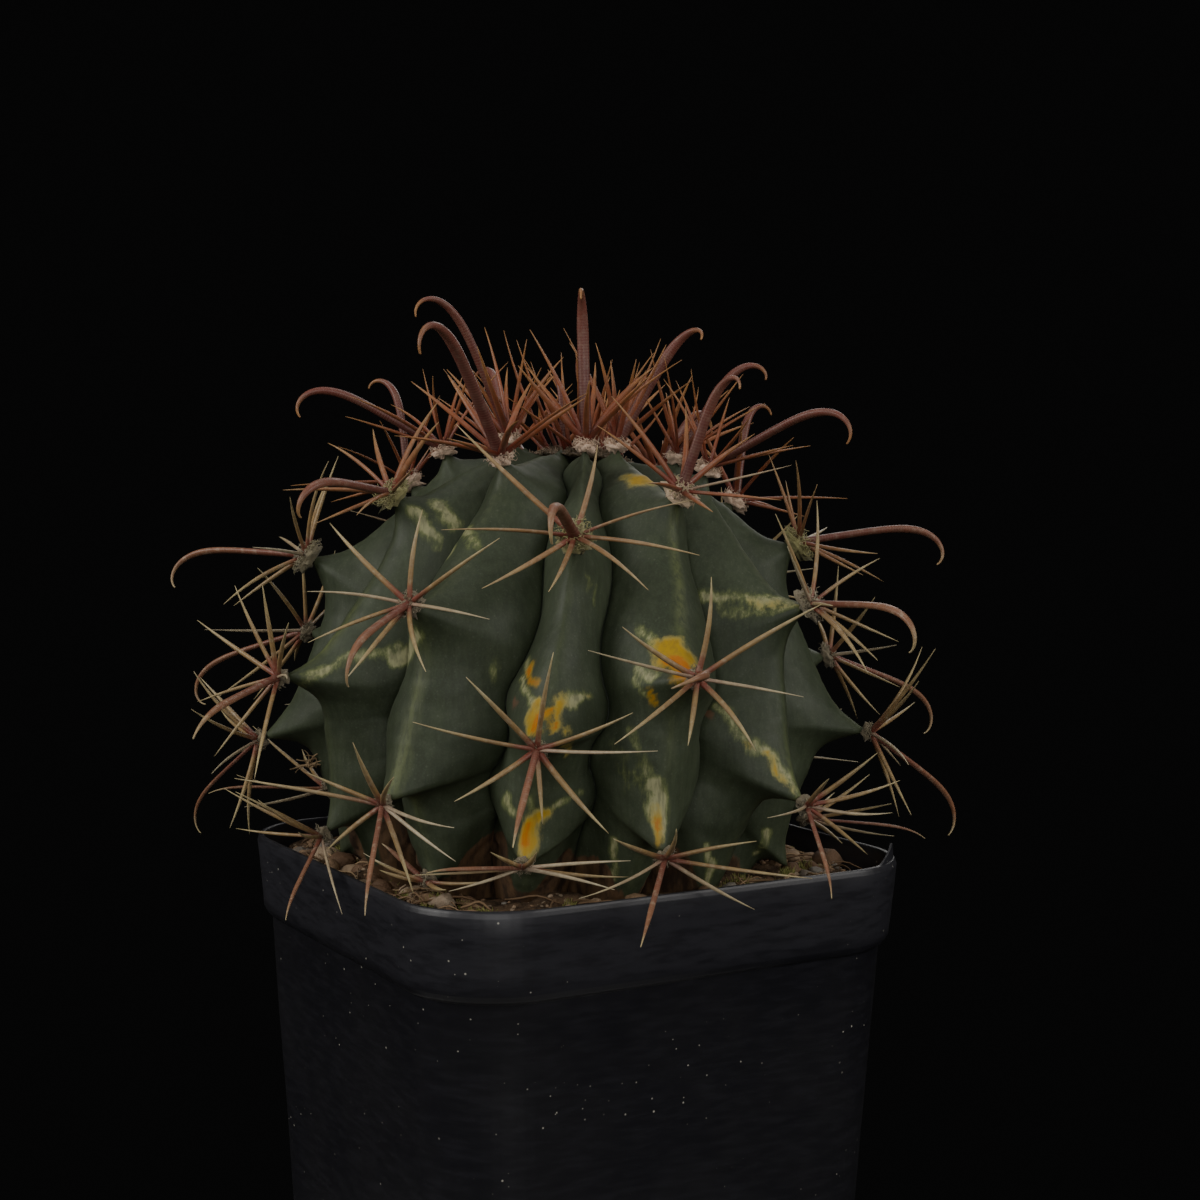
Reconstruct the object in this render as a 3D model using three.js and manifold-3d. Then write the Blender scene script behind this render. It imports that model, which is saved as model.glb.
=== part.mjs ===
// Fishhook barrel cactus in a square nursery pot.
// Millimetres and degrees, +Z up, origin at the centre of the pot's flat base.
import * as THREE from 'three';
import { mergeVertices } from 'three/addons/utils/BufferGeometryUtils.js';
import Module from 'manifold-3d';

const wasm = await Module();
wasm.setup();

// Pot: outer width over the rim band, height, and the wall's draft
const POT_SIDE = 100;
const POT_HEIGHT = 95;
const POT_CORNER_RADIUS = 17.8;
const POT_WALL = 1.1;
const BAND_HEIGHT = 15.6;
const BAND_STEP = 1.4;
const BAND_TAPER = 1.1;
const WALL_HALF_TOP = 47.5;
const WALL_HALF_BASE = 43;
const FLOOR_THICKNESS = 1.6;
const CORNER_POINTS = 7;
const EAR_HEIGHT = 3;
const EAR_SPAN = 9;
const DRAIN_RADIUS = 4;
const DRAIN_OFFSET = 27;
const DRAIN_SIDES = 12;

// Soil: its level below the rim, gaps to its neighbours, and the grit on top
const SOIL_DROP = 4;
const GAP = 0.4;
const WELD = 0.004;
const SOIL_RINGS = [30, 38, 44, 50, 56];
const SOIL_SAMPLES = 56;
const GRIT_BUMPS = 110;
const GRIT_STONES = 14;

// Stem: thirteen ribs; neighbouring ribs carry their areoles 5/13 of a step apart
const RIBS = 13;
const PHASE_STEP = 5 / RIBS;
const ROWS_PER_STEP = 6;
const RIB_SAMPLES = [-0.65, -0.3, 0, 0.3, 0.65, 1];
const CREST = 2;
const FIRST_AZIMUTH = -1;
const RIB_LEAN = 0.1;
const LEAN_HEIGHT = 39;
// A tubercle: how far up and down the rib it fades, how full the flanks are between two of them and
// beside one, and how far the groove gives way to it, in degrees
const NOSE_ABOVE = 0.18;
const NOSE_BELOW = 0.075;
const FLANK_FULLNESS = [1.7, 1.15];
const GROOVE_SWAY = 0.9;
// Each row: areole steps up the rib, radius over the areoles, height over the soil, depth of the
// grooves, and depth of the crest between two areoles
const MERIDIAN = [
  [-2.0, 32, -15, 4, 0],
  [-1.5, 34.5, -6, 5, 0.5],
  [-1.2, 39, -1, 7.5, 2],
  [-0.8, 46, 5, 12, 5.5],
  [-0.4, 52.8, 13.4, 15, 7.5],
  [0, 57.5, 25.2, 16.5, 8.5],
  [0.4, 57.1, 38.7, 16.5, 8.5],
  [0.8, 50.8, 53.3, 15, 7.5],
  [1.2, 41.1, 65.7, 12, 5.5],
  [1.6, 32, 73.8, 9, 4],
  [2.0, 22.5, 78, 6.5, 2.8],
  [2.4, 13, 79.5, 4, 1.6],
  [2.8, 5, 78.5, 1.5, 0.5],
  [3.0, 0.5, 78, 0, 0],
];
const PLUG_STEP = -1.84;
const GROUND_STEP = -1.17;
const CROWN_STEP = 2.84;
// Areoles that sit off the regular spiral: rib, tier, steps up, degrees round
const STRAY_AREOLES = [
  { rib: -1, tier: -1, steps: 0.28, degrees: 3 },
  { rib: 0, tier: -1, steps: 0.22, degrees: 0 },
  { rib: 1, tier: 0, steps: 0, degrees: -3.5 },
];
// Two grooves that leave their place: groove, degrees round, more degrees for each step up
const STRAY_GROOVES = [
  { groove: 12.5, degrees: 4, rise: 1.3 },
  { groove: 0.5, degrees: -0.7, rise: -2.3 },
];

// The plant's stand: its foot on the soil, its tilt, and the turn that faces rib 0 to the front
const PLANT_FOOT = [-3.2, 0.9];
const TILT_SIDE = 4.1;
const TILT_BACK = -4.8;
const FRONT_TURN = -30.3;

// Spines: which areoles carry a cluster of their own, and the sizes of pads and spines
const LOWEST_CLUSTER = -1.15;
const HIGHEST_CLUSTER = 2.4;
const PAD_WIDTH = 2.1;
const PAD_LENGTH = 2.7;
const PAD_THICKNESS = 1.15;
const RADIAL_RADIUS = 0.62;
const RADIAL_ELEVATION = 21;
const ROOT_STEP = 0.9;
const ERECT_STEPS = 1.3;
const ERECT_RISE = 30;
const CENTRAL_RADIUS = 1.15;
const CENTRAL_FLATNESS = 0.6;
const CENTRAL_SIDES = 3;
const CENTRAL_LENGTH = 33;
const HOOK_TURN = 175;
const HOOK_SHARPNESS = 6;
const HOOK_SINK = -0.35;
const HOOK_STOPS = [0, 0.35, 0.62, 0.76, 0.84, 0.9, 0.95, 1];
const SPINE_CLEARANCE = 0.5;
const RIM_CLEARANCE = 1.6;
const RIM_MARGIN = 3.2;
const GRIT_CLEARANCE = 3.2;
// Clock bearings round an areole (0 is up the rib, + is to the right seen from outside), lengths
const USUAL_RADIALS = [[8, 18], [60, 20], [96, 21], [142, 21], [-168, 17], [-122, 21], [-80, 22],
  [-48, 20]];
// Areoles of the front and the crown: rib and tier, central spine [clock, elevation, length, turn,
// bearing of its hook where it isn't down the rib], radials
const FRONT_AREOLES = {
  '0:2': { central: [-28, 77, 33, 172] },
  '0:1': { central: [-160, 61, 31, 176], radials: [[10, 17], [80, 21], [115, 24], [150, 27],
    [-171, 25], [-145, 26], [-112, 25], [-55, 28]] },
  '0:0': { central: [-172, 62, 22, 25], radials: [[7, 19], [60, 19], [80, 22], [132, 18], [170, 12],
    [-123, 16], [-75, 22], [-43, 18]] },
  '0:-1': { central: [-146, 50, 17, 20], radials: [[-77, 19], [-100, 13], [81, 17], [102, 19],
    [125, 18], [-30, 10], [20, 9]] },
  '-1:-1': { central: [-140, 50, 12, 20], radials: [[-92, 13], [112, 13], [-60, 10], [60, 10],
    [-120, 12]] },
  '1:2': { central: [110, 66, 31, 172] },
  '1:1': { central: [12, 66, 27, 170] },
  '1:0': { central: [-112, 68, 27, 165, -95], radials: [[0, 17], [57, 24], [100, 18], [152, 16],
    [-157, 15], [-120, 24], [-88, 27], [-68, 18]] },
  '1:-1': { central: [-75, 60, 24, 15], radials: [[-52, 22], [-20, 16], [35, 18], [73, 25], [110, 18],
    [-80, 24]] },
  '2:1': { central: [-170, 50, 36, 165] },
  '2:0': { central: [-140, 54, 32, 165], radials: [[16, 20], [70, 20], [-50, 21], [-82, 27],
    [-112, 24], [-154, 22], [130, 18], [172, 16]] },
  '2:-1': { central: [-110, 52, 24, 25], radials: [[-83, 28], [-55, 22], [10, 16], [55, 18], [80, 18],
    [112, 18]] },
  '3:1': { central: [172, 74, 28, 172] },
  '3:0': { central: [150, 58, 34, 165] },
  '3:-1': { central: [125, 42, 33, 120], radials: [[-35, 23], [-62, 24], [-100, 25], [-132, 22],
    [20, 20], [70, 20], [110, 20], [160, 18]] },
  '4:0': { central: [20, 60, 26, 165] },
  '-4:3': { central: [0, 62, 26, 165] },
  '-2:3': { central: [180, 66, 37, 175] },
  '-1:2': { central: [180, 74, 41, 175] },
  '-1:1': { central: [165, 46, 29, 140], radials: [[5, 16], [-56, 21], [-95, 18], [-130, 18],
    [-170, 18], [138, 24], [105, 25], [66, 23]] },
  '-1:0': { central: [120, 62, 24, 25], radials: [[-50, 14], [-72, 26], [80, 24], [104, 20],
    [-125, 14], [10, 17], [45, 18], [150, 16]] },
  '-2:2': { central: [145, 42, 30, 170] },
  '-2:1': { central: [112, 46, 32, 45], radials: [[-65, 22], [-20, 18], [20, 18], [62, 21], [90, 24],
    [140, 24], [-110, 20], [-160, 18]] },
  '-2:0': { central: [88, 46, 24, 20], radials: [[30, 20], [-5, 18], [60, 20], [108, 22], [-70, 20],
    [-35, 20]] },
  '-3:3': { central: [180, 46, 34, 165] },
  '-3:2': { central: [-135, 48, 34, 150], radials: [[40, 22], [70, 20], [-38, 22], [0, 20], [104, 22],
    [-90, 22], [150, 20], [-170, 17]] },
  '-3:1': { central: [-125, 50, 28, 110], radials: [[-35, 20], [60, 20], [-66, 20], [-95, 21],
    [-160, 20], [10, 18], [100, 20], [140, 20]] },
};
// A crowded spine takes the first of these that is clear: turn, rise, lift to the sky, shortening
const SPINE_TRIES = [
  [0, 0, 0, 1], [0, 6, 0, 1], [5, 0, 0, 1], [-5, 0, 0, 1], [0, 12, 0, 1], [8, 8, 0, 1],
  [-8, 8, 0, 1], [0, 0, 0.3, 1], [0, 18, 0, 1], [12, 0, 0, 1], [-12, 0, 0, 1], [0, 0, 0.6, 1],
  [12, 16, 0, 1], [-12, 16, 0, 1], [0, 26, 0, 0.9], [0, 0, 0.9, 1], [0, 0, 1.2, 0.9],
  [0, 34, 0, 0.9], [18, 10, 0.5, 0.9], [-18, 10, 0.5, 0.9], [0, 0, 1.6, 0.8], [24, 24, 0, 0.8],
  [-24, 24, 0, 0.8], [0, 44, 0, 0.8], [30, 0, 0.9, 0.75], [-30, 0, 0.9, 0.75], [0, 0, 2.4, 0.75],
  [0, 20, 1.2, 0.6], [36, 20, 0.6, 0.6], [-36, 20, 0.6, 0.6], [0, 0, 4, 0.6],
];

// Crown: the woolly cushion in the middle of the top, with its young spines
const CROWN_WOOL_STEPS = [2.5, 2.67, 2.84];
const CROWN_WOOL_RISE = [0.9, 2.1, 3.0];
const CROWN_SPINES = 26;
const CROWN_SPINE_LENGTH = [13, 25];
const CROWN_SPINE_SPREAD = 7.4;
const CROWN_SPINE_RADIUS = 0.7;
const CROWN_HOOK_RADIUS = 0.9;
const CROWN_HOOKS = 3;

const MATERIALS = {
  pot: { color: 0x1b1b1d, roughness: 0.42, metalness: 0 },
  soil: { color: 0x8a7358, roughness: 0.95, metalness: 0 },
  stem: { color: 0x4a5a47, roughness: 0.55, metalness: 0 },
  spines: { color: 0xb07a58, roughness: 0.5, metalness: 0 },
  crown: { color: 0xb56a48, roughness: 0.55, metalness: 0 },
};

// Plain helpers: angles, seeded draws and the table curve

const radians = THREE.MathUtils.degToRad;
const UP = new THREE.Vector3(0, 0, 1);

function seededDraw(seed) {
  let state = (seed * 2654435761) % 4294967296;
  return () => {
    state = (state * 1664525 + 1013904223) % 4294967296;
    return state / 4294967296;
  };
}

function between(draw, low, high) {
  return low + (high - low) * draw();
}

// Cubic curve through the rows of a table; the first column is the parameter
function tableCurve(table, x) {
  const last = table.length - 1;
  let row = 0;
  while (row < last - 1 && x > table[row + 1][0]) row += 1;
  const slope = (k, column) => {
    const a = table[Math.max(k - 1, 0)];
    const b = table[Math.min(k + 1, last)];
    return (b[column] - a[column]) / (b[0] - a[0]);
  };
  const [low, high] = [table[row], table[row + 1]];
  const width = high[0] - low[0];
  const s = (x - low[0]) / width;
  return low.slice(1).map((value, i) => {
    const column = i + 1;
    return (2 * s ** 3 - 3 * s ** 2 + 1) * value + (s ** 3 - 2 * s ** 2 + s) * width * slope(row, column)
      + (3 * s ** 2 - 2 * s ** 3) * high[column] + (s ** 3 - s ** 2) * width * slope(row + 1, column);
  });
}

// Closed solids: stacked rings with a point at each end, and joins and cuts

function ringSolid(rings, start, end) {
  const count = rings[0].length;
  const points = [start, ...rings.flat(), end];
  const faces = [];
  const at = (ring, i) => 1 + ring * count + (i % count);
  const lastRing = rings.length - 1;
  for (let i = 0; i < count; i += 1) {
    faces.push(0, at(0, i + 1), at(0, i));
    for (let ring = 0; ring < lastRing; ring += 1) {
      faces.push(at(ring, i), at(ring, i + 1), at(ring + 1, i + 1));
      faces.push(at(ring, i), at(ring + 1, i + 1), at(ring + 1, i));
    }
    faces.push(points.length - 1, at(lastRing, i), at(lastRing, i + 1));
  }
  const geometry = new THREE.BufferGeometry().setFromPoints(points);
  geometry.setIndex(faces);
  return geometry;
}

function toSolid(geometry) {
  const bare = geometry.clone();
  bare.deleteAttribute('normal');
  bare.deleteAttribute('uv');
  const merged = mergeVertices(bare, 1e-5);
  return new wasm.Manifold(new wasm.Mesh({
    numProp: 3,
    vertProperties: Float32Array.from(merged.attributes.position.array),
    triVerts: Uint32Array.from(merged.index.array),
  }));
}

// Points nearer than the weld become one, and slivers and folded pairs of faces are dropped
function fromSolid(solid) {
  const mesh = solid.getMesh();
  const geometry = new THREE.BufferGeometry();
  geometry.setAttribute('position', new THREE.Float32BufferAttribute(mesh.vertProperties, 3));
  geometry.setIndex(Array.from(mesh.triVerts));
  const welded = mergeVertices(geometry, WELD);
  const corners = Array.from(welded.index.array);
  const faces = new Map();
  for (let i = 0; i < corners.length; i += 3) {
    const face = corners.slice(i, i + 3);
    const key = [...face].sort().join(' ');
    if (faces.has(key)) faces.delete(key);
    else if (new Set(face).size === 3) faces.set(key, face);
  }
  welded.setIndex([...faces.values()].flat());
  return welded;
}

function joined(geometries) {
  return geometries.map(toSolid).reduce((whole, piece) => whole.add(piece));
}

function namedMesh(name, geometry, look) {
  geometry.computeVertexNormals();
  const mesh = new THREE.Mesh(geometry, new THREE.MeshStandardMaterial(look));
  mesh.name = name;
  return mesh;
}

// Pot

function roundedSquare(half, radius, z) {
  const points = [];
  for (let corner = 0; corner < 4; corner += 1) {
    const centreAngle = 45 + 90 * corner;
    const centre = (half - radius) * Math.SQRT2;
    for (let i = 0; i < CORNER_POINTS; i += 1) {
      const angle = radians(centreAngle - 45 + (90 * i) / (CORNER_POINTS - 1));
      points.push(new THREE.Vector3(
        centre * Math.cos(radians(centreAngle)) + radius * Math.cos(angle),
        centre * Math.sin(radians(centreAngle)) + radius * Math.sin(angle),
        z,
      ));
    }
  }
  return points;
}

function squareReach(half, radius, x, y) {
  const [c, s] = [Math.abs(x), Math.abs(y)];
  const flat = half / Math.max(c, s);
  if (flat * Math.min(c, s) <= half - radius) return flat;
  const b = (half - radius) * (c + s);
  return b + Math.sqrt(b * b - 2 * (half - radius) ** 2 + radius ** 2);
}

function wallHalf(z) {
  return WALL_HALF_BASE + ((WALL_HALF_TOP - WALL_HALF_BASE) * z) / (POT_HEIGHT - BAND_HEIGHT);
}

function cornerRadius(half) {
  return (POT_CORNER_RADIUS * 2 * half) / POT_SIDE;
}

// The rim stands up in a small ear of plastic at one corner
function withEar(points) {
  const tip = new THREE.Vector2(1, -1).normalize();
  points.forEach((point) => {
    const across = Math.abs(tip.x * point.y - tip.y * point.x);
    if (tip.x * point.x + tip.y * point.y > 0 && across < EAR_SPAN) {
      point.z += EAR_HEIGHT * (1 - (across / EAR_SPAN) ** 2);
    }
  });
  return points;
}

function buildPot() {
  const rimHalf = POT_SIDE / 2;
  const bandFoot = POT_HEIGHT - BAND_HEIGHT;
  const ring = (half, z) => roundedSquare(half, cornerRadius(half), z);
  const outside = [
    ring(WALL_HALF_BASE - 1.2, 0),
    ring(wallHalf(0), 1.4),
    ring(WALL_HALF_TOP, bandFoot - 0.4),
    ring(WALL_HALF_TOP + BAND_STEP / 2, bandFoot),
    ring(rimHalf - BAND_TAPER, bandFoot + 1.4),
    ring(rimHalf, POT_HEIGHT - 1.2),
    withEar(ring(rimHalf - 0.3, POT_HEIGHT)),
  ];
  const inside = [
    withEar(ring(rimHalf - POT_WALL, POT_HEIGHT)),
    ring(rimHalf - POT_WALL - 0.2, POT_HEIGHT - 2),
    ring(rimHalf - BAND_TAPER - POT_WALL, bandFoot + 2),
    ring(WALL_HALF_TOP - POT_WALL, bandFoot - 0.6),
    ring(wallHalf(FLOOR_THICKNESS) - POT_WALL, FLOOR_THICKNESS),
  ];
  const shell = ringSolid(
    [...outside, ...inside],
    new THREE.Vector3(0, 0, 0),
    new THREE.Vector3(0, 0, FLOOR_THICKNESS),
  );
  let pot = toSolid(shell);
  for (let i = 0; i < 4; i += 1) {
    const angle = radians(45 + 90 * i);
    const drain = new THREE.CylinderGeometry(DRAIN_RADIUS, DRAIN_RADIUS, 4 * FLOOR_THICKNESS, DRAIN_SIDES);
    drain.rotateX(Math.PI / 2);
    drain.translate(DRAIN_OFFSET * Math.cos(angle), DRAIN_OFFSET * Math.sin(angle), 0);
    pot = pot.subtract(toSolid(drain));
  }
  return namedMesh('pot', fromSolid(pot), MATERIALS.pot);
}

// Stem

// How far a stray areole draws its rib along, in steps and degrees
function straySteps(rib, steps) {
  const sameRib = (stray) => THREE.MathUtils.euclideanModulo(rib - stray.rib, RIBS) === 0;
  return STRAY_AREOLES.filter(sameRib).reduce((shift, stray) => {
    const weight = Math.exp(-(((steps - areoleSteps(stray.rib, stray.tier)) / 0.5) ** 2));
    return { steps: shift.steps + stray.steps * weight, degrees: shift.degrees + stray.degrees * weight };
  }, { steps: 0, degrees: 0 });
}

function areoleSteps(rib, tier) {
  return PHASE_STEP * rib + tier;
}

// The cycle from one areole (0) up the rib to the next (1), for a rib at a place in areole steps
function cyclePlace(rib, steps) {
  const shifted = steps - straySteps(rib, steps).steps - PHASE_STEP * rib;
  return shifted - Math.floor(shifted);
}

// A groove, between the ribs on its two sides, gives way to the fuller of them, in degrees
function grooveSway(groove, steps) {
  const swell = (rib) => Math.cos(2 * Math.PI * (cyclePlace(rib, steps) - 0.25));
  const fade = THREE.MathUtils.smoothstep(steps, -1.4, -0.8)
    * (1 - THREE.MathUtils.smoothstep(steps, 1.8, 2.4));
  const stray = STRAY_GROOVES.find((entry) => (
    entry.groove === THREE.MathUtils.euclideanModulo(groove, RIBS)));
  return fade * (GROOVE_SWAY * (swell(Math.floor(groove)) - swell(Math.ceil(groove)))
    + (stray ? stray.degrees + stray.rise * steps : 0));
}

// Point of the stem: across runs from -1 to 1 between a rib's grooves, proud lifts it off the skin
function stemPoint(rib, across, steps, proud = 0) {
  const [radius, height, groove, notch] = tableCurve(MERIDIAN, steps);
  const ahead = tableCurve(MERIDIAN, Math.min(steps + 0.02, 3));
  const behind = tableCurve(MERIDIAN, steps - 0.02);
  const slope = new THREE.Vector2(ahead[0] - behind[0], ahead[1] - behind[1]).normalize();
  const cycle = cyclePlace(rib, steps);
  const nose = Math.max(Math.exp(-cycle / NOSE_ABOVE), Math.exp(-(1 - cycle) / NOSE_BELOW));
  const off = Math.abs(across);
  const crest = 1 - off ** THREE.MathUtils.lerp(...FLANK_FULLNESS, nose);
  const depth = (1 - crest) * groove + crest * notch * (1 - nose) - proud;
  const r = Math.max(radius - depth * slope.y, 0);
  const z = height + depth * slope.x;
  const stray = straySteps(rib, steps).degrees * (1 - off);
  const azimuth = radians(FIRST_AZIMUTH + (360 / RIBS) * (rib + across / 2) + stray
    + grooveSway(rib + Math.sign(across) / 2, steps) * off + RIB_LEAN * (height - LEAN_HEIGHT));
  return new THREE.Vector3(r * Math.sin(azimuth), -r * Math.cos(azimuth), z);
}

// Rows bend along each rib so that one of them runs through every areole
function rowShift(rib, steps) {
  const shift = straySteps(rib, steps).steps;
  const rows = (PHASE_STEP * rib + shift) * ROWS_PER_STEP;
  const fade = THREE.MathUtils.smoothstep(steps, -1.5, -1.2)
    * (1 - THREE.MathUtils.smoothstep(steps, 2.2, 2.6));
  return ((rows - Math.round(rows)) / ROWS_PER_STEP) * fade;
}

function stemRing(steps, proud = 0) {
  const ring = [];
  for (let rib = 0; rib < RIBS; rib += 1) {
    for (const across of RIB_SAMPLES) {
      const bent = steps + rowShift(rib, steps) * (1 - Math.abs(across));
      ring.push(stemPoint(rib, across, bent, proud));
    }
  }
  return ring;
}

function stemRows(high) {
  const rows = [PLUG_STEP];
  for (let k = Math.round(GROUND_STEP * ROWS_PER_STEP); k < high * ROWS_PER_STEP - 0.2; k += 1) {
    rows.push(k / ROWS_PER_STEP);
  }
  return [...rows, high];
}

function axisPoint(ring, drop = 0) {
  return new THREE.Vector3(0, 0, ring[0].z - drop);
}

function buildStem() {
  const rings = stemRows(CROWN_STEP).map((steps) => stemRing(steps));
  const geometry = ringSolid(rings, axisPoint(rings[0]), axisPoint(rings[rings.length - 1]));
  return namedMesh('stem', geometry, MATERIALS.stem);
}

// Soil

function gritRelief() {
  const draw = seededDraw(11);
  const bumps = [];
  for (let i = 0; i < GRIT_BUMPS; i += 1) {
    const [x, y] = [between(draw, -50, 50), between(draw, -50, 50)];
    bumps.push({ x, y, radius: between(draw, 3, 8), height: between(draw, 0.3, 1.6) });
  }
  return (x, y) => bumps.reduce((top, bump) => {
    const part = 1 - ((x - bump.x) ** 2 + (y - bump.y) ** 2) / bump.radius ** 2;
    return part > 0 ? Math.max(top, bump.height * part) : top;
  }, 0);
}

function buildSoil(plantMatrix) {
  const level = POT_HEIGHT - SOIL_DROP;
  const relief = gritRelief();
  const innerHalf = (z) => (z < POT_HEIGHT - BAND_HEIGHT - 0.6
    ? wallHalf(z) - POT_WALL - GAP
    : POT_SIDE / 2 - BAND_TAPER - POT_WALL - GAP);
  const outline = (z, half = innerHalf(z)) => {
    const ring = [];
    for (let i = 0; i < SOIL_SAMPLES; i += 1) {
      const angle = (2 * Math.PI * i) / SOIL_SAMPLES;
      const reach = squareReach(half, cornerRadius(half), Math.cos(angle), Math.sin(angle));
      ring.push(new THREE.Vector3(reach * Math.cos(angle), reach * Math.sin(angle), z));
    }
    return ring;
  };
  const foot = outline(FLOOR_THICKNESS + GAP);
  const ledge = POT_HEIGHT - BAND_HEIGHT - 0.6;
  const rim = outline(level);
  const top = [...SOIL_RINGS].reverse().map((radius) => rim.map((edge) => {
    const reach = Math.hypot(edge.x, edge.y);
    const scale = Math.min(radius / SOIL_RINGS[SOIL_RINGS.length - 1], 0.97);
    const [x, y] = [edge.x * scale, edge.y * scale];
    const slump = 1.2 * (1 - scale) * Math.min(reach / 50, 1);
    return new THREE.Vector3(x, y, level + relief(x, y) - 0.4 + slump);
  }));
  const block = ringSolid(
    [foot, outline(ledge, wallHalf(ledge) - POT_WALL - GAP), outline(ledge + 3), rim, ...top],
    new THREE.Vector3(0, 0, FLOOR_THICKNESS + GAP),
    new THREE.Vector3(0, 0, level),
  );
  let soil = toSolid(block);
  const draw = seededDraw(5);
  for (let i = 0; i < GRIT_STONES; i += 1) {
    const angle = 2 * Math.PI * draw();
    const half = innerHalf(level) - 5.5;
    const edge = squareReach(half, cornerRadius(half), Math.cos(angle), Math.sin(angle));
    const reach = between(draw, 45, Math.max(edge, 46));
    const stone = new THREE.IcosahedronGeometry(between(draw, 1.8, 3.6), 0);
    stone.scale(1.25, 0.9, 0.6);
    stone.rotateZ(Math.PI * draw());
    stone.rotateX(between(draw, -0.4, 0.4));
    stone.translate(Math.min(reach, edge) * Math.cos(angle), Math.min(reach, edge) * Math.sin(angle),
      level + between(draw, 0.1, 0.9));
    soil = soil.add(toSolid(stone));
  }
  const rings = stemRows(-0.5).map((steps) => stemRing(steps, GAP));
  rings[0].forEach((point) => { point.z -= GAP; });
  const socket = ringSolid(rings, axisPoint(rings[0]), axisPoint(rings[rings.length - 1]));
  socket.applyMatrix4(plantMatrix);
  return namedMesh('soil', fromSolid(soil.subtract(toSolid(socket))), MATERIALS.soil);
}

// Spines

// Axes of an areole: up the rib, to the side, and out of the skin
function areoleFrame(rib, tier) {
  const stray = STRAY_AREOLES.find((entry) => entry.rib === rib && entry.tier === tier);
  const steps = areoleSteps(rib, tier) + (stray ? stray.steps : 0);
  const [radius, height] = tableCurve(MERIDIAN, steps);
  const ahead = tableCurve(MERIDIAN, steps + 0.02);
  const behind = tableCurve(MERIDIAN, steps - 0.02);
  const slope = new THREE.Vector2(ahead[0] - behind[0], ahead[1] - behind[1]).normalize();
  const azimuth = radians(FIRST_AZIMUTH + (360 / RIBS) * rib + RIB_LEAN * (height - LEAN_HEIGHT)
    + (stray ? stray.degrees : 0));
  const radial = new THREE.Vector3(Math.sin(azimuth), -Math.cos(azimuth), 0);
  const side = new THREE.Vector3(Math.cos(azimuth), Math.sin(azimuth), 0);
  const up = radial.clone().multiplyScalar(slope.x).addScaledVector(UP, slope.y);
  const out = radial.clone().multiplyScalar(slope.y).addScaledVector(UP, -slope.x);
  const skin = radial.clone().multiplyScalar(radius).addScaledVector(UP, height);
  const root = skin.clone().addScaledVector(out, GAP + PAD_THICKNESS);
  return { rib, tier, steps, up, side, out, root };
}

function bearing(frame, clock, elevation, lift) {
  const [c, e] = [radians(clock), radians(elevation)];
  return new THREE.Vector3()
    .addScaledVector(frame.up, Math.cos(e) * Math.cos(c))
    .addScaledVector(frame.side, Math.cos(e) * Math.sin(c))
    .addScaledVector(frame.out, Math.sin(e))
    .addScaledVector(UP, lift)
    .normalize();
}

// Straight spine: root and tip
function radialPath(frame, spine, attempt) {
  const [turn, rise, lift, keep] = attempt;
  const elevation = Math.min(spine.elevation + rise, 85);
  const heading = bearing(frame, spine.clock + turn, elevation, lift);
  return [ROOT_STEP, spine.length * keep].map((along) => frame.root.clone()
    .addScaledVector(heading, along));
}

// Central spine: its heading turns ever faster towards the tip, which makes the fishhook
function centralPath(frame, spine, attempt) {
  const [turn, rise, lift, keep] = attempt;
  const elevation = Math.min(spine.elevation + rise, 88);
  const heading = bearing(frame, spine.clock + turn, elevation, lift);
  const down = bearing(frame, spine.hook ?? 180, 0, HOOK_SINK);
  down.addScaledVector(heading, -down.dot(heading)).normalize();
  const path = [frame.root.clone()];
  for (let i = 1; i < HOOK_STOPS.length; i += 1) {
    const step = spine.length * keep * (HOOK_STOPS[i] - HOOK_STOPS[i - 1]);
    const angle = radians(spine.turn) * ((HOOK_STOPS[i] + HOOK_STOPS[i - 1]) / 2) ** HOOK_SHARPNESS;
    path.push(path[i - 1].clone()
      .addScaledVector(heading, step * Math.cos(angle))
      .addScaledVector(down, step * Math.sin(angle)));
  }
  return path;
}

function segmentDistance(a, b, c, d) {
  const first = b.clone().sub(a);
  const second = d.clone().sub(c);
  const across = a.clone().sub(c);
  const [aa, bb, ab] = [first.lengthSq(), second.lengthSq(), first.dot(second)];
  const [ac, bc] = [first.dot(across), second.dot(across)];
  const clamp = (value) => Math.min(Math.max(value, 0), 1);
  const spread = aa * bb - ab * ab;
  let s = spread > 1e-9 ? clamp((ab * bc - ac * bb) / spread) : 0;
  const t = bb > 1e-9 ? clamp((ab * s + bc) / bb) : 0;
  s = aa > 1e-9 ? clamp((ab * t - ac) / aa) : 0;
  return a.clone().addScaledVector(first, s).distanceTo(c.clone().addScaledVector(second, t));
}

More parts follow.
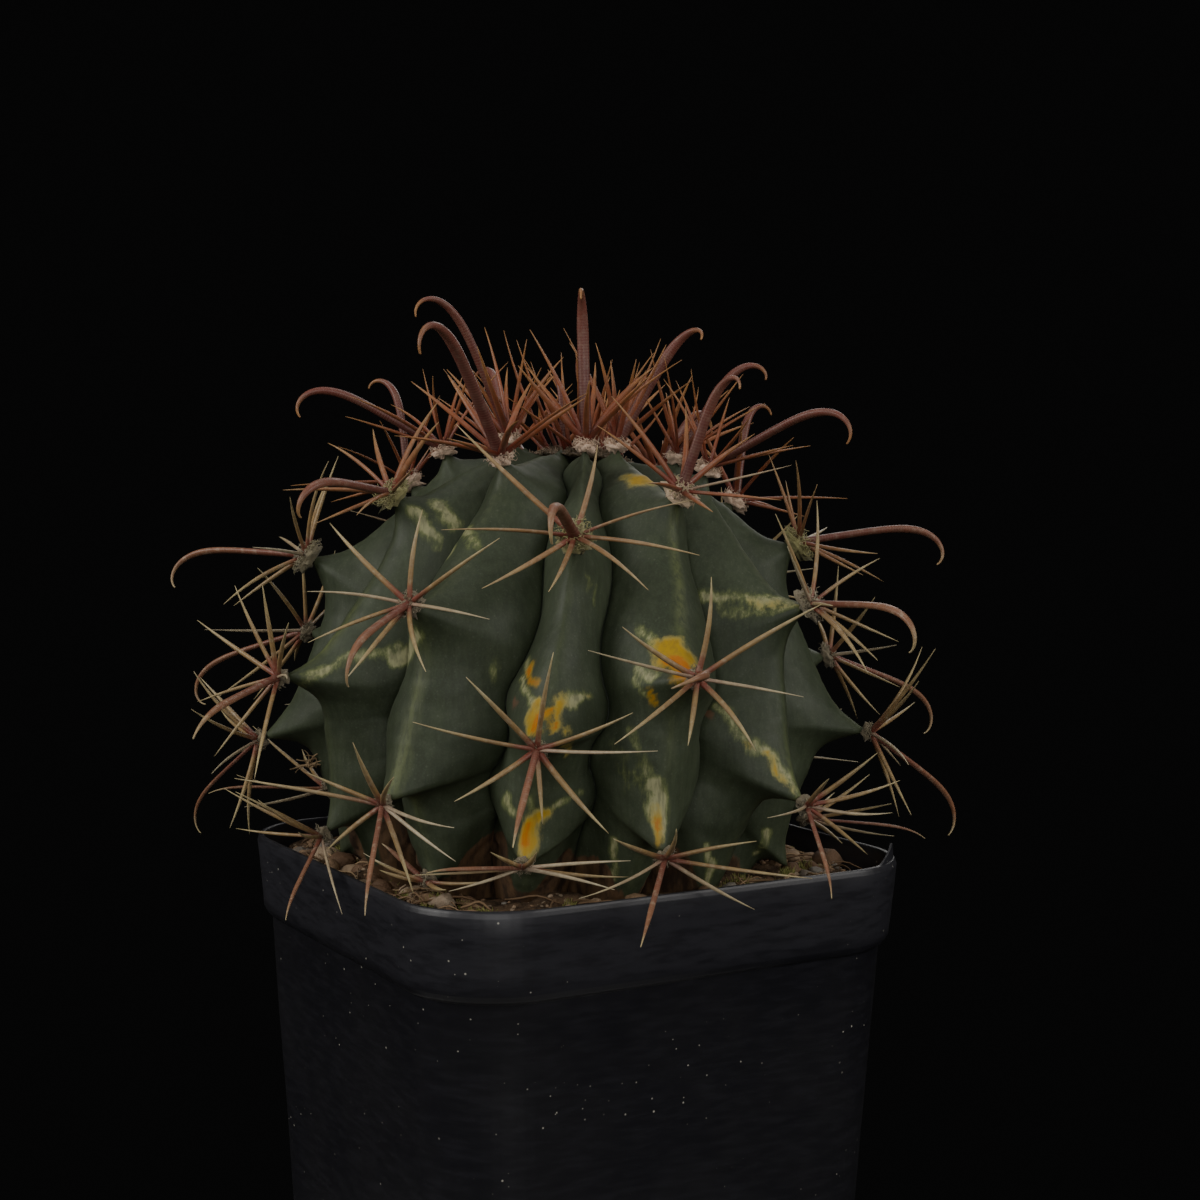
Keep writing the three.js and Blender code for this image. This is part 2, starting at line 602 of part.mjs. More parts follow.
// What is already placed: each entry is one stretch of a spine or a pad, with its owner
class Thicket {
  constructor(plantMatrix) {
    this.stretches = [];
    this.plantMatrix = plantMatrix;
  }

  add(owner, path, radius) {
    for (let i = 0; i < path.length - 1; i += 1) {
      this.stretches.push({ owner, from: path[i], to: path[i + 1], radius });
    }
  }

  // Above the grit, and above or outside the rim
  clearOfPot(path) {
    for (let i = 0; i < path.length - 1; i += 1) {
      const stops = Math.ceil(path[i].distanceTo(path[i + 1]));
      for (let k = 1; k <= stops; k += 1) {
        const point = path[i].clone().lerp(path[i + 1], k / stops).applyMatrix4(this.plantMatrix);
        const reach = Math.hypot(point.x, point.y);
        const edge = squareReach(POT_SIDE / 2, POT_CORNER_RADIUS, point.x / reach, point.y / reach);
        const ear = point.x > 0 && point.y < 0 && Math.abs(point.x + point.y) < 1.6 * EAR_SPAN;
        const rimTop = POT_HEIGHT + RIM_CLEARANCE + (ear ? EAR_HEIGHT : 0);
        if (reach > edge - RIM_MARGIN && reach < edge + RIM_CLEARANCE && point.z < rimTop) return false;
        if (reach <= edge - RIM_MARGIN && point.z < POT_HEIGHT - SOIL_DROP + GRIT_CLEARANCE) return false;
      }
    }
    return true;
  }

  clearOfOthers(owner, path, radius) {
    return this.stretches.every((other) => {
      if (other.owner === owner) return true;
      const need = radius + other.radius + SPINE_CLEARANCE;
      for (let i = 0; i < path.length - 1; i += 1) {
        if (segmentDistance(path[i], path[i + 1], other.from, other.to) < need) return false;
      }
      return true;
    });
  }

  // The first attempt that is clear, or null where the spine has no room
  place(owner, frame, spine, makePath, radius) {
    for (const attempt of SPINE_TRIES) {
      const path = makePath(frame, spine, attempt);
      if (this.clearOfPot(path) && this.clearOfOthers(owner, path, radius)) {
        this.add(owner, path, radius);
        return path;
      }
    }
    return null;
  }
}

// Tapered closed spine of few sides along a path, wide across the side and thinner through
function spineGeometry(path, radius, sides, flatness, side) {
  const rings = [];
  for (let i = 0; i < path.length - 1; i += 1) {
    const heading = path[i + 1].clone().sub(path[Math.max(i - 1, 0)]).normalize();
    const wide = side.clone().addScaledVector(heading, -side.dot(heading)).normalize();
    const thin = new THREE.Vector3().crossVectors(heading, wide);
    const taper = radius * (1 - 0.62 * (i / (path.length - 1)));
    const ring = [];
    for (let k = 0; k < sides; k += 1) {
      const angle = (2 * Math.PI * k) / sides;
      ring.push(path[i].clone()
        .addScaledVector(wide, taper * Math.cos(angle))
        .addScaledVector(thin, taper * flatness * Math.sin(angle)));
    }
    rings.push(ring);
  }
  return ringSolid(rings, path[0].clone(), path[path.length - 1].clone());
}

function padSpan(frame) {
  const half = frame.up.clone().multiplyScalar(0.3 * PAD_LENGTH);
  return [frame.root.clone().sub(half), frame.root.clone().add(half)];
}

function padGeometry(frame) {
  const pad = new THREE.SphereGeometry(1, 6, 3);
  const axes = new THREE.Matrix4().makeBasis(
    frame.side.clone().multiplyScalar(PAD_WIDTH),
    frame.up.clone().multiplyScalar(PAD_LENGTH),
    frame.out.clone().multiplyScalar(PAD_THICKNESS),
  );
  pad.rotateX(Math.PI / 2);
  return pad.applyMatrix4(axes.setPosition(frame.root));
}

function clusterPlan(frame) {
  const measured = FRONT_AREOLES[`${frame.rib}:${frame.tier}`] ?? {};
  const draw = seededDraw(401 + 29 * frame.rib + 7 * frame.tier);
  const low = frame.steps < -0.4;
  const usual = USUAL_RADIALS.filter(([clock]) => !low || Math.abs(clock) < 130)
    .map(([clock, length]) => [clock + between(draw, -9, 9), length + between(draw, -3, 3)]);
  const erect = Math.max(frame.steps - ERECT_STEPS, 0) * ERECT_RISE;
  const radials = (measured.radials ?? usual).map(([clock, length]) => ({
    clock, length, elevation: RADIAL_ELEVATION + erect + between(draw, -4, 6),
  }));
  const hooked = frame.steps > 0.1;
  const [clock, elevation, length, turn, hook] = measured.central ?? [
    180 + between(draw, -40, 40),
    between(draw, 50, 62) + (frame.steps > 1.4 ? 8 : 0),
    hooked ? CENTRAL_LENGTH + between(draw, -3, 3) : between(draw, 20, 26),
    hooked ? HOOK_TURN - between(draw, 0, 30) : between(draw, 15, 50),
  ];
  return { central: { clock, elevation, length, turn, hook }, radials };
}

// The areoles with a cluster of their own, clear of the grit and the rim, from the lowest up
function clusterFrames(thicket) {
  const frames = [];
  for (let rib = -6; rib <= 6; rib += 1) {
    for (let tier = -4; tier <= 5; tier += 1) {
      const frame = areoleFrame(rib, tier);
      const inReach = frame.steps > LOWEST_CLUSTER && frame.steps < HIGHEST_CLUSTER;
      if (inReach && thicket.clearOfPot(padSpan(frame))) frames.push(frame);
    }
  }
  return frames.sort((a, b) => a.steps - b.steps);
}

function clusterName(frame) {
  return `areole_rib${(frame.rib + RIBS) % RIBS}_step${Math.round(100 + 100 * frame.steps)}`;
}

function buildClusters(thicket) {
  const clusters = clusterFrames(thicket)
    .map((frame) => ({ frame, ...clusterPlan(frame), pieces: [] }));
  for (const { frame } of clusters) thicket.add(frame, padSpan(frame), PAD_WIDTH);
  for (const { frame, central, pieces } of clusters) {
    const path = thicket.place(frame, frame, central, centralPath, CENTRAL_RADIUS);
    if (path) pieces.push(spineGeometry(path, CENTRAL_RADIUS, CENTRAL_SIDES, CENTRAL_FLATNESS, frame.side));
  }
  for (const { frame, radials, pieces } of clusters) {
    for (const radial of radials) {
      const path = thicket.place(frame, frame, radial, radialPath, RADIAL_RADIUS);
      if (path) pieces.push(spineGeometry(path, RADIAL_RADIUS, 3, 1, frame.side));
    }
  }
  return clusters.map(({ frame, pieces }) => namedMesh(
    clusterName(frame),
    fromSolid(joined([padGeometry(frame), ...pieces])),
    MATERIALS.spines,
  ));
}

// Crown

function crownFrame(angle, reach, height, splay) {
  const radial = new THREE.Vector3(Math.sin(angle), -Math.cos(angle), 0);
  const side = new THREE.Vector3(Math.cos(angle), Math.sin(angle), 0);
  const out = UP.clone().multiplyScalar(Math.cos(splay)).addScaledVector(radial, Math.sin(splay));
  const up = UP.clone().multiplyScalar(Math.sin(splay)).addScaledVector(radial, -Math.cos(splay));
  return { up, side, out, root: radial.clone().multiplyScalar(reach).addScaledVector(UP, height) };
}

function buildCrown(thicket) {
  const crests = (steps, proud) => stemRing(steps, proud).filter((point, i) => (
    i % RIB_SAMPLES.length === CREST));
  const under = CROWN_WOOL_STEPS.map((steps) => crests(steps, GAP)).reverse();
  const over = CROWN_WOOL_STEPS.map((steps, i) => crests(steps, GAP + CROWN_WOOL_RISE[i]));
  const wool = ringSolid([...under, ...over], axisPoint(under[0]), axisPoint(over[over.length - 1]));
  const pieces = [wool];
  const draw = seededDraw(77);
  const owner = 'crown';
  for (let i = 0; i < CROWN_HOOKS + CROWN_SPINES; i += 1) {
    const hooked = i < CROWN_HOOKS;
    const angle = radians(222.5 * i + between(draw, -12, 12));
    const reach = CROWN_SPINE_SPREAD * Math.sqrt(hooked ? 0.5 : (i + 0.5) / (CROWN_HOOKS + CROWN_SPINES));
    const splay = radians((hooked ? 12 : 22) + 5 * reach * (hooked ? 0.3 : 1));
    const frame = crownFrame(angle, reach, tableCurve(MERIDIAN, 2.84)[1] + 1.2, splay);
    const spine = {
      clock: between(draw, -60, 60), elevation: between(draw, 68, 88),
      length: between(draw, ...CROWN_SPINE_LENGTH) + (hooked ? 6 : 0), turn: 150,
    };
    const [makePath, radius] = hooked
      ? [centralPath, CROWN_HOOK_RADIUS]
      : [radialPath, CROWN_SPINE_RADIUS];
    const path = thicket.place(owner, frame, spine, makePath, radius);
    if (path) pieces.push(spineGeometry(path, radius, 3, 1, frame.side));
  }
  return namedMesh('crown', fromSolid(joined(pieces)), MATERIALS.crown);
}

// Assembly

const plant = new THREE.Group();
plant.position.set(PLANT_FOOT[0], PLANT_FOOT[1], POT_HEIGHT - SOIL_DROP);
plant.rotation.set(radians(TILT_BACK), radians(TILT_SIDE), radians(FRONT_TURN), 'ZXY');
plant.updateMatrixWorld(true);

const thicket = new Thicket(plant.matrixWorld);
plant.add(buildStem(), ...buildClusters(thicket), buildCrown(thicket));

const cactus = new THREE.Group();
cactus.add(buildPot(), buildSoil(plant.matrixWorld), plant);

export default cactus;
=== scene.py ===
"""Looks of a potted fishhook barrel cactus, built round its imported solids.

The stem, the spine clusters and the crown follow the same formulas as the solids, with finer meshes,
relief, wool and colour. The pot and the soil are modelled to the solids' sizes. Lengths are in
millimetres until a mesh is made, which is in metres.
"""
from __future__ import annotations

import logging
from dataclasses import dataclass, field
from enum import Enum
from functools import cache
from math import ceil, cos, floor, hypot, pi, radians, sin, sqrt, tau

import bpy
import numpy as np
from mathutils import Matrix, Vector


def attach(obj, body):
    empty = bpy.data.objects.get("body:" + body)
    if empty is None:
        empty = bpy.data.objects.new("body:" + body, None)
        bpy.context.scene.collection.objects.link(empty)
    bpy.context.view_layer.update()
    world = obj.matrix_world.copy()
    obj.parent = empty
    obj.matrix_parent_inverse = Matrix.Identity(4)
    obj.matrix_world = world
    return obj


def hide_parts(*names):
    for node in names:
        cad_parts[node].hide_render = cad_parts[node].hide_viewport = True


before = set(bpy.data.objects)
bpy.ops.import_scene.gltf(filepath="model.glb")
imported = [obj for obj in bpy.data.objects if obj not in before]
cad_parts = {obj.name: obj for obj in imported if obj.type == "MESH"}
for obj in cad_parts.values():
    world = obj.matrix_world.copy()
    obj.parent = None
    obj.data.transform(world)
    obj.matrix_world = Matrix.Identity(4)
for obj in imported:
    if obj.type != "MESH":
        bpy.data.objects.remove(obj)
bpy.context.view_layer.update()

MM = 0.001
LOG = logging.getLogger("cactus")

Array = np.ndarray
Socket = bpy.types.NodeSocket
Colour = tuple[float, float, float]
Shell = tuple[Array, list[Array]]


class Draw:
    """A seeded draw that gives the same numbers as the one behind the solids."""

    SEED_FACTOR = 2654435761
    FACTOR = 1664525
    STEP = 1013904223
    RANGE = 4294967296

    def __init__(self, seed: int) -> None:
        """Starts the draw from the whole number that names it."""
        self.state = seed * self.SEED_FACTOR % self.RANGE

    def __call__(self, low: float = 0, high: float = 1) -> float:
        """Returns the next number, spread from low to high."""
        self.state = (self.state * self.FACTOR + self.STEP) % self.RANGE
        return low + (high - low) * (self.state / self.RANGE)


def unit(vector: Array) -> Array:
    """Returns a vector, or each row of an array of them, at length one."""
    return vector / np.maximum(np.linalg.norm(vector, axis=-1, keepdims=True), 1e-12)


def smooth(value: Array, low: float, high: float) -> Array:
    """Returns the smooth step of a value from 0 at low to 1 at high."""
    t = np.clip((value - low) / (high - low), 0, 1)
    return t * t * (3 - 2 * t)


def turn_about(axis: int, angle: float) -> Array:
    """Makes the matrix of a turn.

    Args:
        axis: 0, 1 or 2 for X, Y or Z.
        angle: how far, in radians.

    Returns:
        A 3 by 3 matrix.
    """
    first, second = (axis + 1) % 3, (axis + 2) % 3
    matrix = np.eye(3)
    matrix[first, first] = matrix[second, second] = cos(angle)
    matrix[second, first] = sin(angle)
    matrix[first, second] = -sin(angle)
    return matrix


@dataclass(frozen=True)
class PotSizes:
    """The pot's driving sizes, in millimetres, as the solids have them."""

    side: float = 100
    height: float = 95
    corner: float = 17.8
    wall: float = 1.1
    band: float = 15.6
    band_step: float = 1.4
    band_taper: float = 1.1
    half_top: float = 47.5
    half_base: float = 43
    floor: float = 1.6
    ear_height: float = 3
    ear_span: float = 9
    drain_radius: float = 4
    drain_offset: float = 27
    soil_drop: float = 4
    gap: float = 0.4

    @property
    def soil_level(self) -> float:
        """Height of the soil."""
        return self.height - self.soil_drop

    def wall_half(self, z: float) -> float:
        """Returns the wall's half width at a height."""
        return self.half_base + (self.half_top - self.half_base) * z / (self.height - self.band)

    def corner_radius(self, half: float) -> float:
        """Returns the corner radius that goes with a half width."""
        return self.corner * 2 * half / self.side

    def reach(self, half: float, radius: float, x: Array, y: Array) -> Array:
        """Returns how far a rounded square reaches along unit directions.

        Args:
            half: half width of the square.
            radius: radius of its corners.
            x: first part of the directions.
            y: second part of the directions.

        Returns:
            One distance for each direction.
        """
        c, s = np.abs(x), np.abs(y)
        flat = half / np.maximum(np.maximum(c, s), 1e-9)
        b = (half - radius) * (c + s)
        round_part = b + np.sqrt(np.maximum(b * b - 2 * (half - radius) ** 2 + radius**2, 0))
        return np.where(flat * np.minimum(c, s) <= half - radius, flat, round_part)


@dataclass(frozen=True)
class StemForm:
    """The stem's surface as a formula, in the plant's own millimetres over the soil."""

    ribs: int = 13
    phase_step: float = 5 / 13
    first_azimuth: float = -1
    lean: float = 0.1
    lean_height: float = 39
    nose_above: float = 0.18
    nose_below: float = 0.075
    fullness: tuple[float, float] = (1.7, 1.15)
    groove_sway: float = 0.9
    crown_step: float = 2.84
    foot: tuple[float, float] = (-3.2, 0.9)
    tilt_side: float = 4.1
    tilt_back: float = -4.8
    front_turn: float = -30.3
    # Rib, tier, steps up and degrees round of the areoles that sit off the regular spiral
    strays: tuple[tuple[int, int, float, float], ...] = (
        (-1, -1, 0.28, 3), (0, -1, 0.22, 0), (1, 0, 0, -3.5))
    # Groove, degrees round and more degrees a step of the grooves that leave their place
    stray_grooves: tuple[tuple[float, float, float], ...] = ((12.5, 4, 1.3), (0.5, -0.7, -2.3))
    # Areole steps, radius, height over the soil, groove depth, depth between two areoles
    meridian: tuple[tuple[float, ...], ...] = (
        (-2.0, 32, -15, 4, 0), (-1.5, 34.5, -6, 5, 0.5), (-1.2, 39, -1, 7.5, 2),
        (-0.8, 46, 5, 12, 5.5), (-0.4, 52.8, 13.4, 15, 7.5), (0, 57.5, 25.2, 16.5, 8.5),
        (0.4, 57.1, 38.7, 16.5, 8.5), (0.8, 50.8, 53.3, 15, 7.5), (1.2, 41.1, 65.7, 12, 5.5),
        (1.6, 32, 73.8, 9, 4), (2.0, 22.5, 78, 6.5, 2.8), (2.4, 13, 79.5, 4, 1.6),
        (2.8, 5, 78.5, 1.5, 0.5), (3.0, 0.5, 78, 0, 0),
    )

    def curve(self, steps: Array) -> Array:
        """Reads the meridian.

        Args:
            steps: places up a rib, in areole steps.

        Returns:
            Radius, height, groove depth and notch depth, one row for each place.
        """
        table = np.array(self.meridian, float)
        last = len(table) - 1
        x = np.atleast_1d(np.asarray(steps, float))
        row = np.clip(np.searchsorted(table[:, 0], x) - 1, 0, last - 1)
        ahead = np.minimum(np.arange(last + 1) + 1, last)
        behind = np.maximum(np.arange(last + 1) - 1, 0)
        slopes = (table[ahead] - table[behind]) / (table[ahead, :1] - table[behind, :1])
        width = table[row + 1, 0] - table[row, 0]
        s = ((x - table[row, 0]) / width)[:, None]
        w = width[:, None]
        return (
            (2 * s**3 - 3 * s**2 + 1) * table[row, 1:] + (s**3 - 2 * s**2 + s) * w * slopes[row, 1:]
            + (3 * s**2 - 2 * s**3) * table[row + 1, 1:] + (s**3 - s**2) * w * slopes[row + 1, 1:]
        )

    def slope(self, steps: Array) -> Array:
        """Returns the meridian's unit direction at places in areole steps."""
        x = np.atleast_1d(np.asarray(steps, float))
        return unit((self.curve(np.minimum(x + 0.02, 3)) - self.curve(x - 0.02))[:, :2])

    def stray(self, rib: Array, steps: Array) -> tuple[Array, Array]:
        """Tells how far stray areoles draw a rib along.

        Args:
            rib: the ribs of the places.
            steps: the places, in areole steps.

        Returns:
            Their shift up the rib in steps, and round the stem in degrees.
        """
        shift, turn = np.zeros_like(steps), np.zeros_like(steps)
        for stray_rib, tier, up, degrees in self.strays:
            near = np.exp(-(((steps - self.phase_step * stray_rib - tier) / 0.5) ** 2))
            near = near * (np.mod(rib - stray_rib, self.ribs) == 0)
            shift, turn = shift + up * near, turn + degrees * near
        return shift, turn

    def cycle(self, rib: Array, steps: Array) -> Array:
        """Returns the place between one areole (0) and the next one up the rib (1)."""
        return np.mod(steps - self.stray(rib, steps)[0] - self.phase_step * rib, 1)

    def nose(self, rib: Array, steps: Array) -> Array:
        """Returns how much of a tubercle's nose there is, 1 at an areole."""
        cycle = self.cycle(rib, steps)
        return np.maximum(np.exp(-cycle / self.nose_above), np.exp(-(1 - cycle) / self.nose_below))

    def sway(self, groove: Array, steps: Array) -> Array:
        """Tells how far a groove gives way to the fuller rib beside it.

        Args:
            groove: the grooves, halfway between the numbers of their ribs.
            steps: the places along them, in areole steps.

        Returns:
            The turn round the stem, in degrees.
        """
        fade = smooth(steps, -1.4, -0.8) * (1 - smooth(steps, 1.8, 2.4))
        before, after = (np.cos(tau * (self.cycle(rib, steps) - 0.25))
                         for rib in (np.floor(groove), np.ceil(groove)))
        sway = self.groove_sway * (before - after)
        for stray, degrees, rise in self.stray_grooves:
            sway = sway + (np.mod(groove, self.ribs) == stray) * (degrees + rise * steps)
        return sway * fade

    def points(self, rib: Array, across: Array, steps: Array, proud: Array | float = 0) -> Array:
        """Finds points of the surface.

        Args:
            rib: the ribs that the points are on.
            across: their place between a rib's grooves, -1 to 1.
            steps: their place up the rib, in areole steps.
            proud: how far they are lifted off the skin.

        Returns:
            The points in the plant's own millimetres.
        """
        radius, height, groove, notch = self.curve(steps).T
        slope = self.slope(steps)
        nose = self.nose(rib, steps)
        off = np.abs(across)
        crest = 1 - off ** (self.fullness[0] + (self.fullness[1] - self.fullness[0]) * nose)
        depth = (1 - crest) * groove + crest * notch * (1 - nose) - proud
        r = np.maximum(radius - depth * slope[:, 1], 0)
        z = height + depth * slope[:, 0]
        azimuth = np.radians(
            self.first_azimuth + 360 / self.ribs * (rib + across / 2)
            + self.stray(rib, steps)[1] * (1 - off)
            + self.sway(rib + np.sign(across) / 2, steps) * off
            + self.lean * (height - self.lean_height))
        return np.stack([r * np.sin(azimuth), -r * np.cos(azimuth), z], axis=1)

    def matrix(self) -> Array:
        """Finds how the plant stands.

        Returns:
            The 4 by 4 matrix from the plant's to the part's millimetres.
        """
        turn, back, side = np.radians([self.front_turn, self.tilt_back, self.tilt_side])
        stand = np.eye(4)
        stand[:3, :3] = turn_about(2, turn) @ turn_about(0, back) @ turn_about(1, side)
        stand[:3, 3] = (*self.foot, POT.soil_level)
        return stand

    def placed(self, points: Array) -> Array:
        """Returns plant points in the part's millimetres."""
        stand = self.matrix()
        return points @ stand[:3, :3].T + stand[:3, 3]


POT = PotSizes()
STEM = StemForm()


@dataclass
class Areole:
    """One areole: its rib and tier, its place and its axes in the plant's millimetres."""

    rib: int
    tier: int
    steps: float
    up: Array
    side: Array
    out: Array
    root: Array

    @classmethod
    def at(cls, rib: int, tier: int, raised: float) -> Areole:
        """Finds an areole on the stem.

        Args:
            rib: its rib.
            tier: its number up the rib.
            raised: how far its root is off the skin.

        Returns:
            The areole.
        """
        stray = next((s for s in STEM.strays if s[:2] == (rib, tier)), (0, 0, 0, 0))
        steps = STEM.phase_step * rib + tier + stray[2]
        radius, height = STEM.curve(steps)[0, :2]
        slope = STEM.slope(steps)[0]
        azimuth = radians(STEM.first_azimuth + 360 / STEM.ribs * rib
                               + STEM.lean * (height - STEM.lean_height) + stray[3])
        radial = np.array([sin(azimuth), -cos(azimuth), 0])
        side = np.array([cos(azimuth), sin(azimuth), 0])
        sky = np.array([0, 0, 1.0])
        out = radial * slope[1] - sky * slope[0]
        root = radial * radius + sky * height + out * raised
        return cls(rib, tier, steps, radial * slope[0] + sky * slope[1], side, out, root)

    @property
    def node(self) -> str:
        """Name of the solid that holds this areole's cluster."""
        return f"areole_rib{self.rib % STEM.ribs}_step{floor(100.5 + 100 * self.steps)}"

    def bearing(self, clock: float, elevation: float, lift: float) -> Array:
        """Finds a spine's direction.

        Args:
            clock: degrees round from up, towards the side.
            elevation: degrees off the skin.
            lift: how much it is drawn to the sky.

        Returns:
            A unit direction.
        """
        c, e = radians(clock), radians(elevation)
        sky = np.array([0, 0, lift])
        return unit(self.up * cos(e) * cos(c) + self.side * cos(e) * sin(c)
                    + self.out * sin(e) + sky)


@dataclass(frozen=True)
class SpineWish:
    """One spine as planned: bearing round its areole, rise off the skin, length, hook."""

    clock: float
    elevation: float
    length: float
    turn: float = 0
    hook: float = 180


@dataclass(frozen=True)
class SpineSizes:
    """Sizes and clearances of the spines, in millimetres, as the solids have them."""

    lowest: float = -1.15
    highest: float = 2.4
    pad_width: float = 2.1
    pad_length: float = 2.7
    pad_thickness: float = 1.15
    radial_radius: float = 0.62
    radial_elevation: float = 21
    root_step: float = 0.9
    erect_steps: float = 1.3
    erect_rise: float = 30
    central_radius: float = 1.15
    central_length: float = 33
    hook_turn: float = 175
    hook_sharpness: float = 6
    hook_sink: float = -0.35
    steepest: float = 85
    steepest_hook: float = 88
    hook_stops: tuple[float, ...] = (0, 0.35, 0.62, 0.76, 0.84, 0.9, 0.95, 1)
    clearance: float = 0.5
    rim_clearance: float = 1.6
    rim_margin: float = 3.2
    grit_clearance: float = 3.2
    crown_spines: int = 26
    crown_hooks: int = 3
    crown_spread: float = 7.4
    crown_length: tuple[float, float] = (13, 25)
    crown_spine_radius: float = 0.7
    crown_hook_radius: float = 0.9
    crown_spiral: float = 222.5
    crown_root_rise: float = 1.2


SIZES = SpineSizes()

USUAL_RADIALS = ((8, 18), (60, 20), (96, 21), (142, 21), (-168, 17), (-122, 21), (-80, 22), (-48, 20))
# Areoles of the front and the crown: rib and tier, then the central spine as bearing, rise,
# length, turn and the bearing of its hook, then the radial spines as bearing and length
MEASURED = {
    (0, 2): ((-28, 77, 33, 172), None),
    (0, 1): ((-160, 61, 31, 176), ((10, 17), (80, 21), (115, 24), (150, 27), (-171, 25), (-145, 26),
        (-112, 25), (-55, 28))),
    (0, 0): ((-172, 62, 22, 25), ((7, 19), (60, 19), (80, 22), (132, 18), (170, 12), (-123, 16),
        (-75, 22), (-43, 18))),
    (0, -1): ((-146, 50, 17, 20), ((-77, 19), (-100, 13), (81, 17), (102, 19), (125, 18), (-30, 10),
        (20, 9))),
    (-1, -1): ((-140, 50, 12, 20), ((-92, 13), (112, 13), (-60, 10), (60, 10), (-120, 12))),
    (1, 2): ((110, 66, 31, 172), None),
    (1, 1): ((12, 66, 27, 170), None),
    (1, 0): ((-112, 68, 27, 165, -95), ((0, 17), (57, 24), (100, 18), (152, 16), (-157, 15), (-120, 24),
        (-88, 27), (-68, 18))),
    (1, -1): ((-75, 60, 24, 15), ((-52, 22), (-20, 16), (35, 18), (73, 25), (110, 18), (-80, 24))),
    (2, 1): ((-170, 50, 36, 165), None),
    (2, 0): ((-140, 54, 32, 165), ((16, 20), (70, 20), (-50, 21), (-82, 27), (-112, 24), (-154, 22),
        (130, 18), (172, 16))),
    (2, -1): ((-110, 52, 24, 25), ((-83, 28), (-55, 22), (10, 16), (55, 18), (80, 18), (112, 18))),
    (3, 1): ((172, 74, 28, 172), None),
    (3, 0): ((150, 58, 34, 165), None),
    (3, -1): ((125, 42, 33, 120), ((-35, 23), (-62, 24), (-100, 25), (-132, 22), (20, 20), (70, 20),
        (110, 20), (160, 18))),
    (4, 0): ((20, 60, 26, 165), None),
    (-4, 3): ((0, 62, 26, 165), None),
    (-2, 3): ((180, 66, 37, 175), None),
    (-1, 2): ((180, 74, 41, 175), None),
    (-1, 1): ((165, 46, 29, 140), ((5, 16), (-56, 21), (-95, 18), (-130, 18), (-170, 18), (138, 24),
        (105, 25), (66, 23))),
    (-1, 0): ((120, 62, 24, 25), ((-50, 14), (-72, 26), (80, 24), (104, 20), (-125, 14), (10, 17),
        (45, 18), (150, 16))),
    (-2, 2): ((145, 42, 30, 170), None),
    (-2, 1): ((112, 46, 32, 45), ((-65, 22), (-20, 18), (20, 18), (62, 21), (90, 24), (140, 24),
        (-110, 20), (-160, 18))),
    (-2, 0): ((88, 46, 24, 20), ((30, 20), (-5, 18), (60, 20), (108, 22), (-70, 20), (-35, 20))),
    (-3, 3): ((180, 46, 34, 165), None),
    (-3, 2): ((-135, 48, 34, 150), ((40, 22), (70, 20), (-38, 22), (0, 20), (104, 22), (-90, 22),
        (150, 20), (-170, 17))),
    (-3, 1): ((-125, 50, 28, 110), ((-35, 20), (60, 20), (-66, 20), (-95, 21), (-160, 20), (10, 18),
        (100, 20), (140, 20))),
}
# A crowded spine takes the first of these that is clear: turn, rise, lift to the sky, shortening
TRIES = (
    (0, 0, 0, 1), (0, 6, 0, 1), (5, 0, 0, 1), (-5, 0, 0, 1), (0, 12, 0, 1), (8, 8, 0, 1),
    (-8, 8, 0, 1), (0, 0, 0.3, 1), (0, 18, 0, 1), (12, 0, 0, 1), (-12, 0, 0, 1), (0, 0, 0.6, 1),
    (12, 16, 0, 1), (-12, 16, 0, 1), (0, 26, 0, 0.9), (0, 0, 0.9, 1), (0, 0, 1.2, 0.9),
    (0, 34, 0, 0.9), (18, 10, 0.5, 0.9), (-18, 10, 0.5, 0.9), (0, 0, 1.6, 0.8), (24, 24, 0, 0.8),
    (-24, 24, 0, 0.8), (0, 44, 0, 0.8), (30, 0, 0.9, 0.75), (-30, 0, 0.9, 0.75), (0, 0, 2.4, 0.75),
    (0, 20, 1.2, 0.6), (36, 20, 0.6, 0.6), (-36, 20, 0.6, 0.6), (0, 0, 4, 0.6),
)


@dataclass(frozen=True)
class Spine:
    """One spine in its place: its areole, its plan, how it was placed, and its kind."""

    areole: Areole
    wish: SpineWish
    attempt: tuple[float, ...]
    hooked: bool

    def path(self, stops: Array | None = None) -> Array:
        """Finds the spine's path: straight, or turned ever faster into the hook.

        Args:
            stops: places along a hook, 0 to 1; the solids' own places where none are given.

        Returns:
            Root and tip, or a point for each stop, in plant millimetres.
        """
        areole, wish = self.areole, self.wish
        turn, rise, lift, keep = self.attempt
        steepest = SIZES.steepest_hook if self.hooked else SIZES.steepest
        heading = areole.bearing(wish.clock + turn, min(wish.elevation + rise, steepest), lift)
        if not self.hooked:
            return np.array([areole.root + heading * SIZES.root_step,
                             areole.root + heading * wish.length * keep])
        down = areole.bearing(wish.hook, 0, SIZES.hook_sink)
        down = unit(down - heading * (down @ heading))
        along = np.array(SIZES.hook_stops) if stops is None else stops
        angle = radians(wish.turn) * ((along[1:] + along[:-1]) / 2) ** SIZES.hook_sharpness
        step = (wish.length * keep * np.diff(along))[:, None]
        moves = step * (heading * np.cos(angle)[:, None] + down * np.sin(angle)[:, None])
        return np.vstack([areole.root, areole.root + np.cumsum(moves, axis=0)])


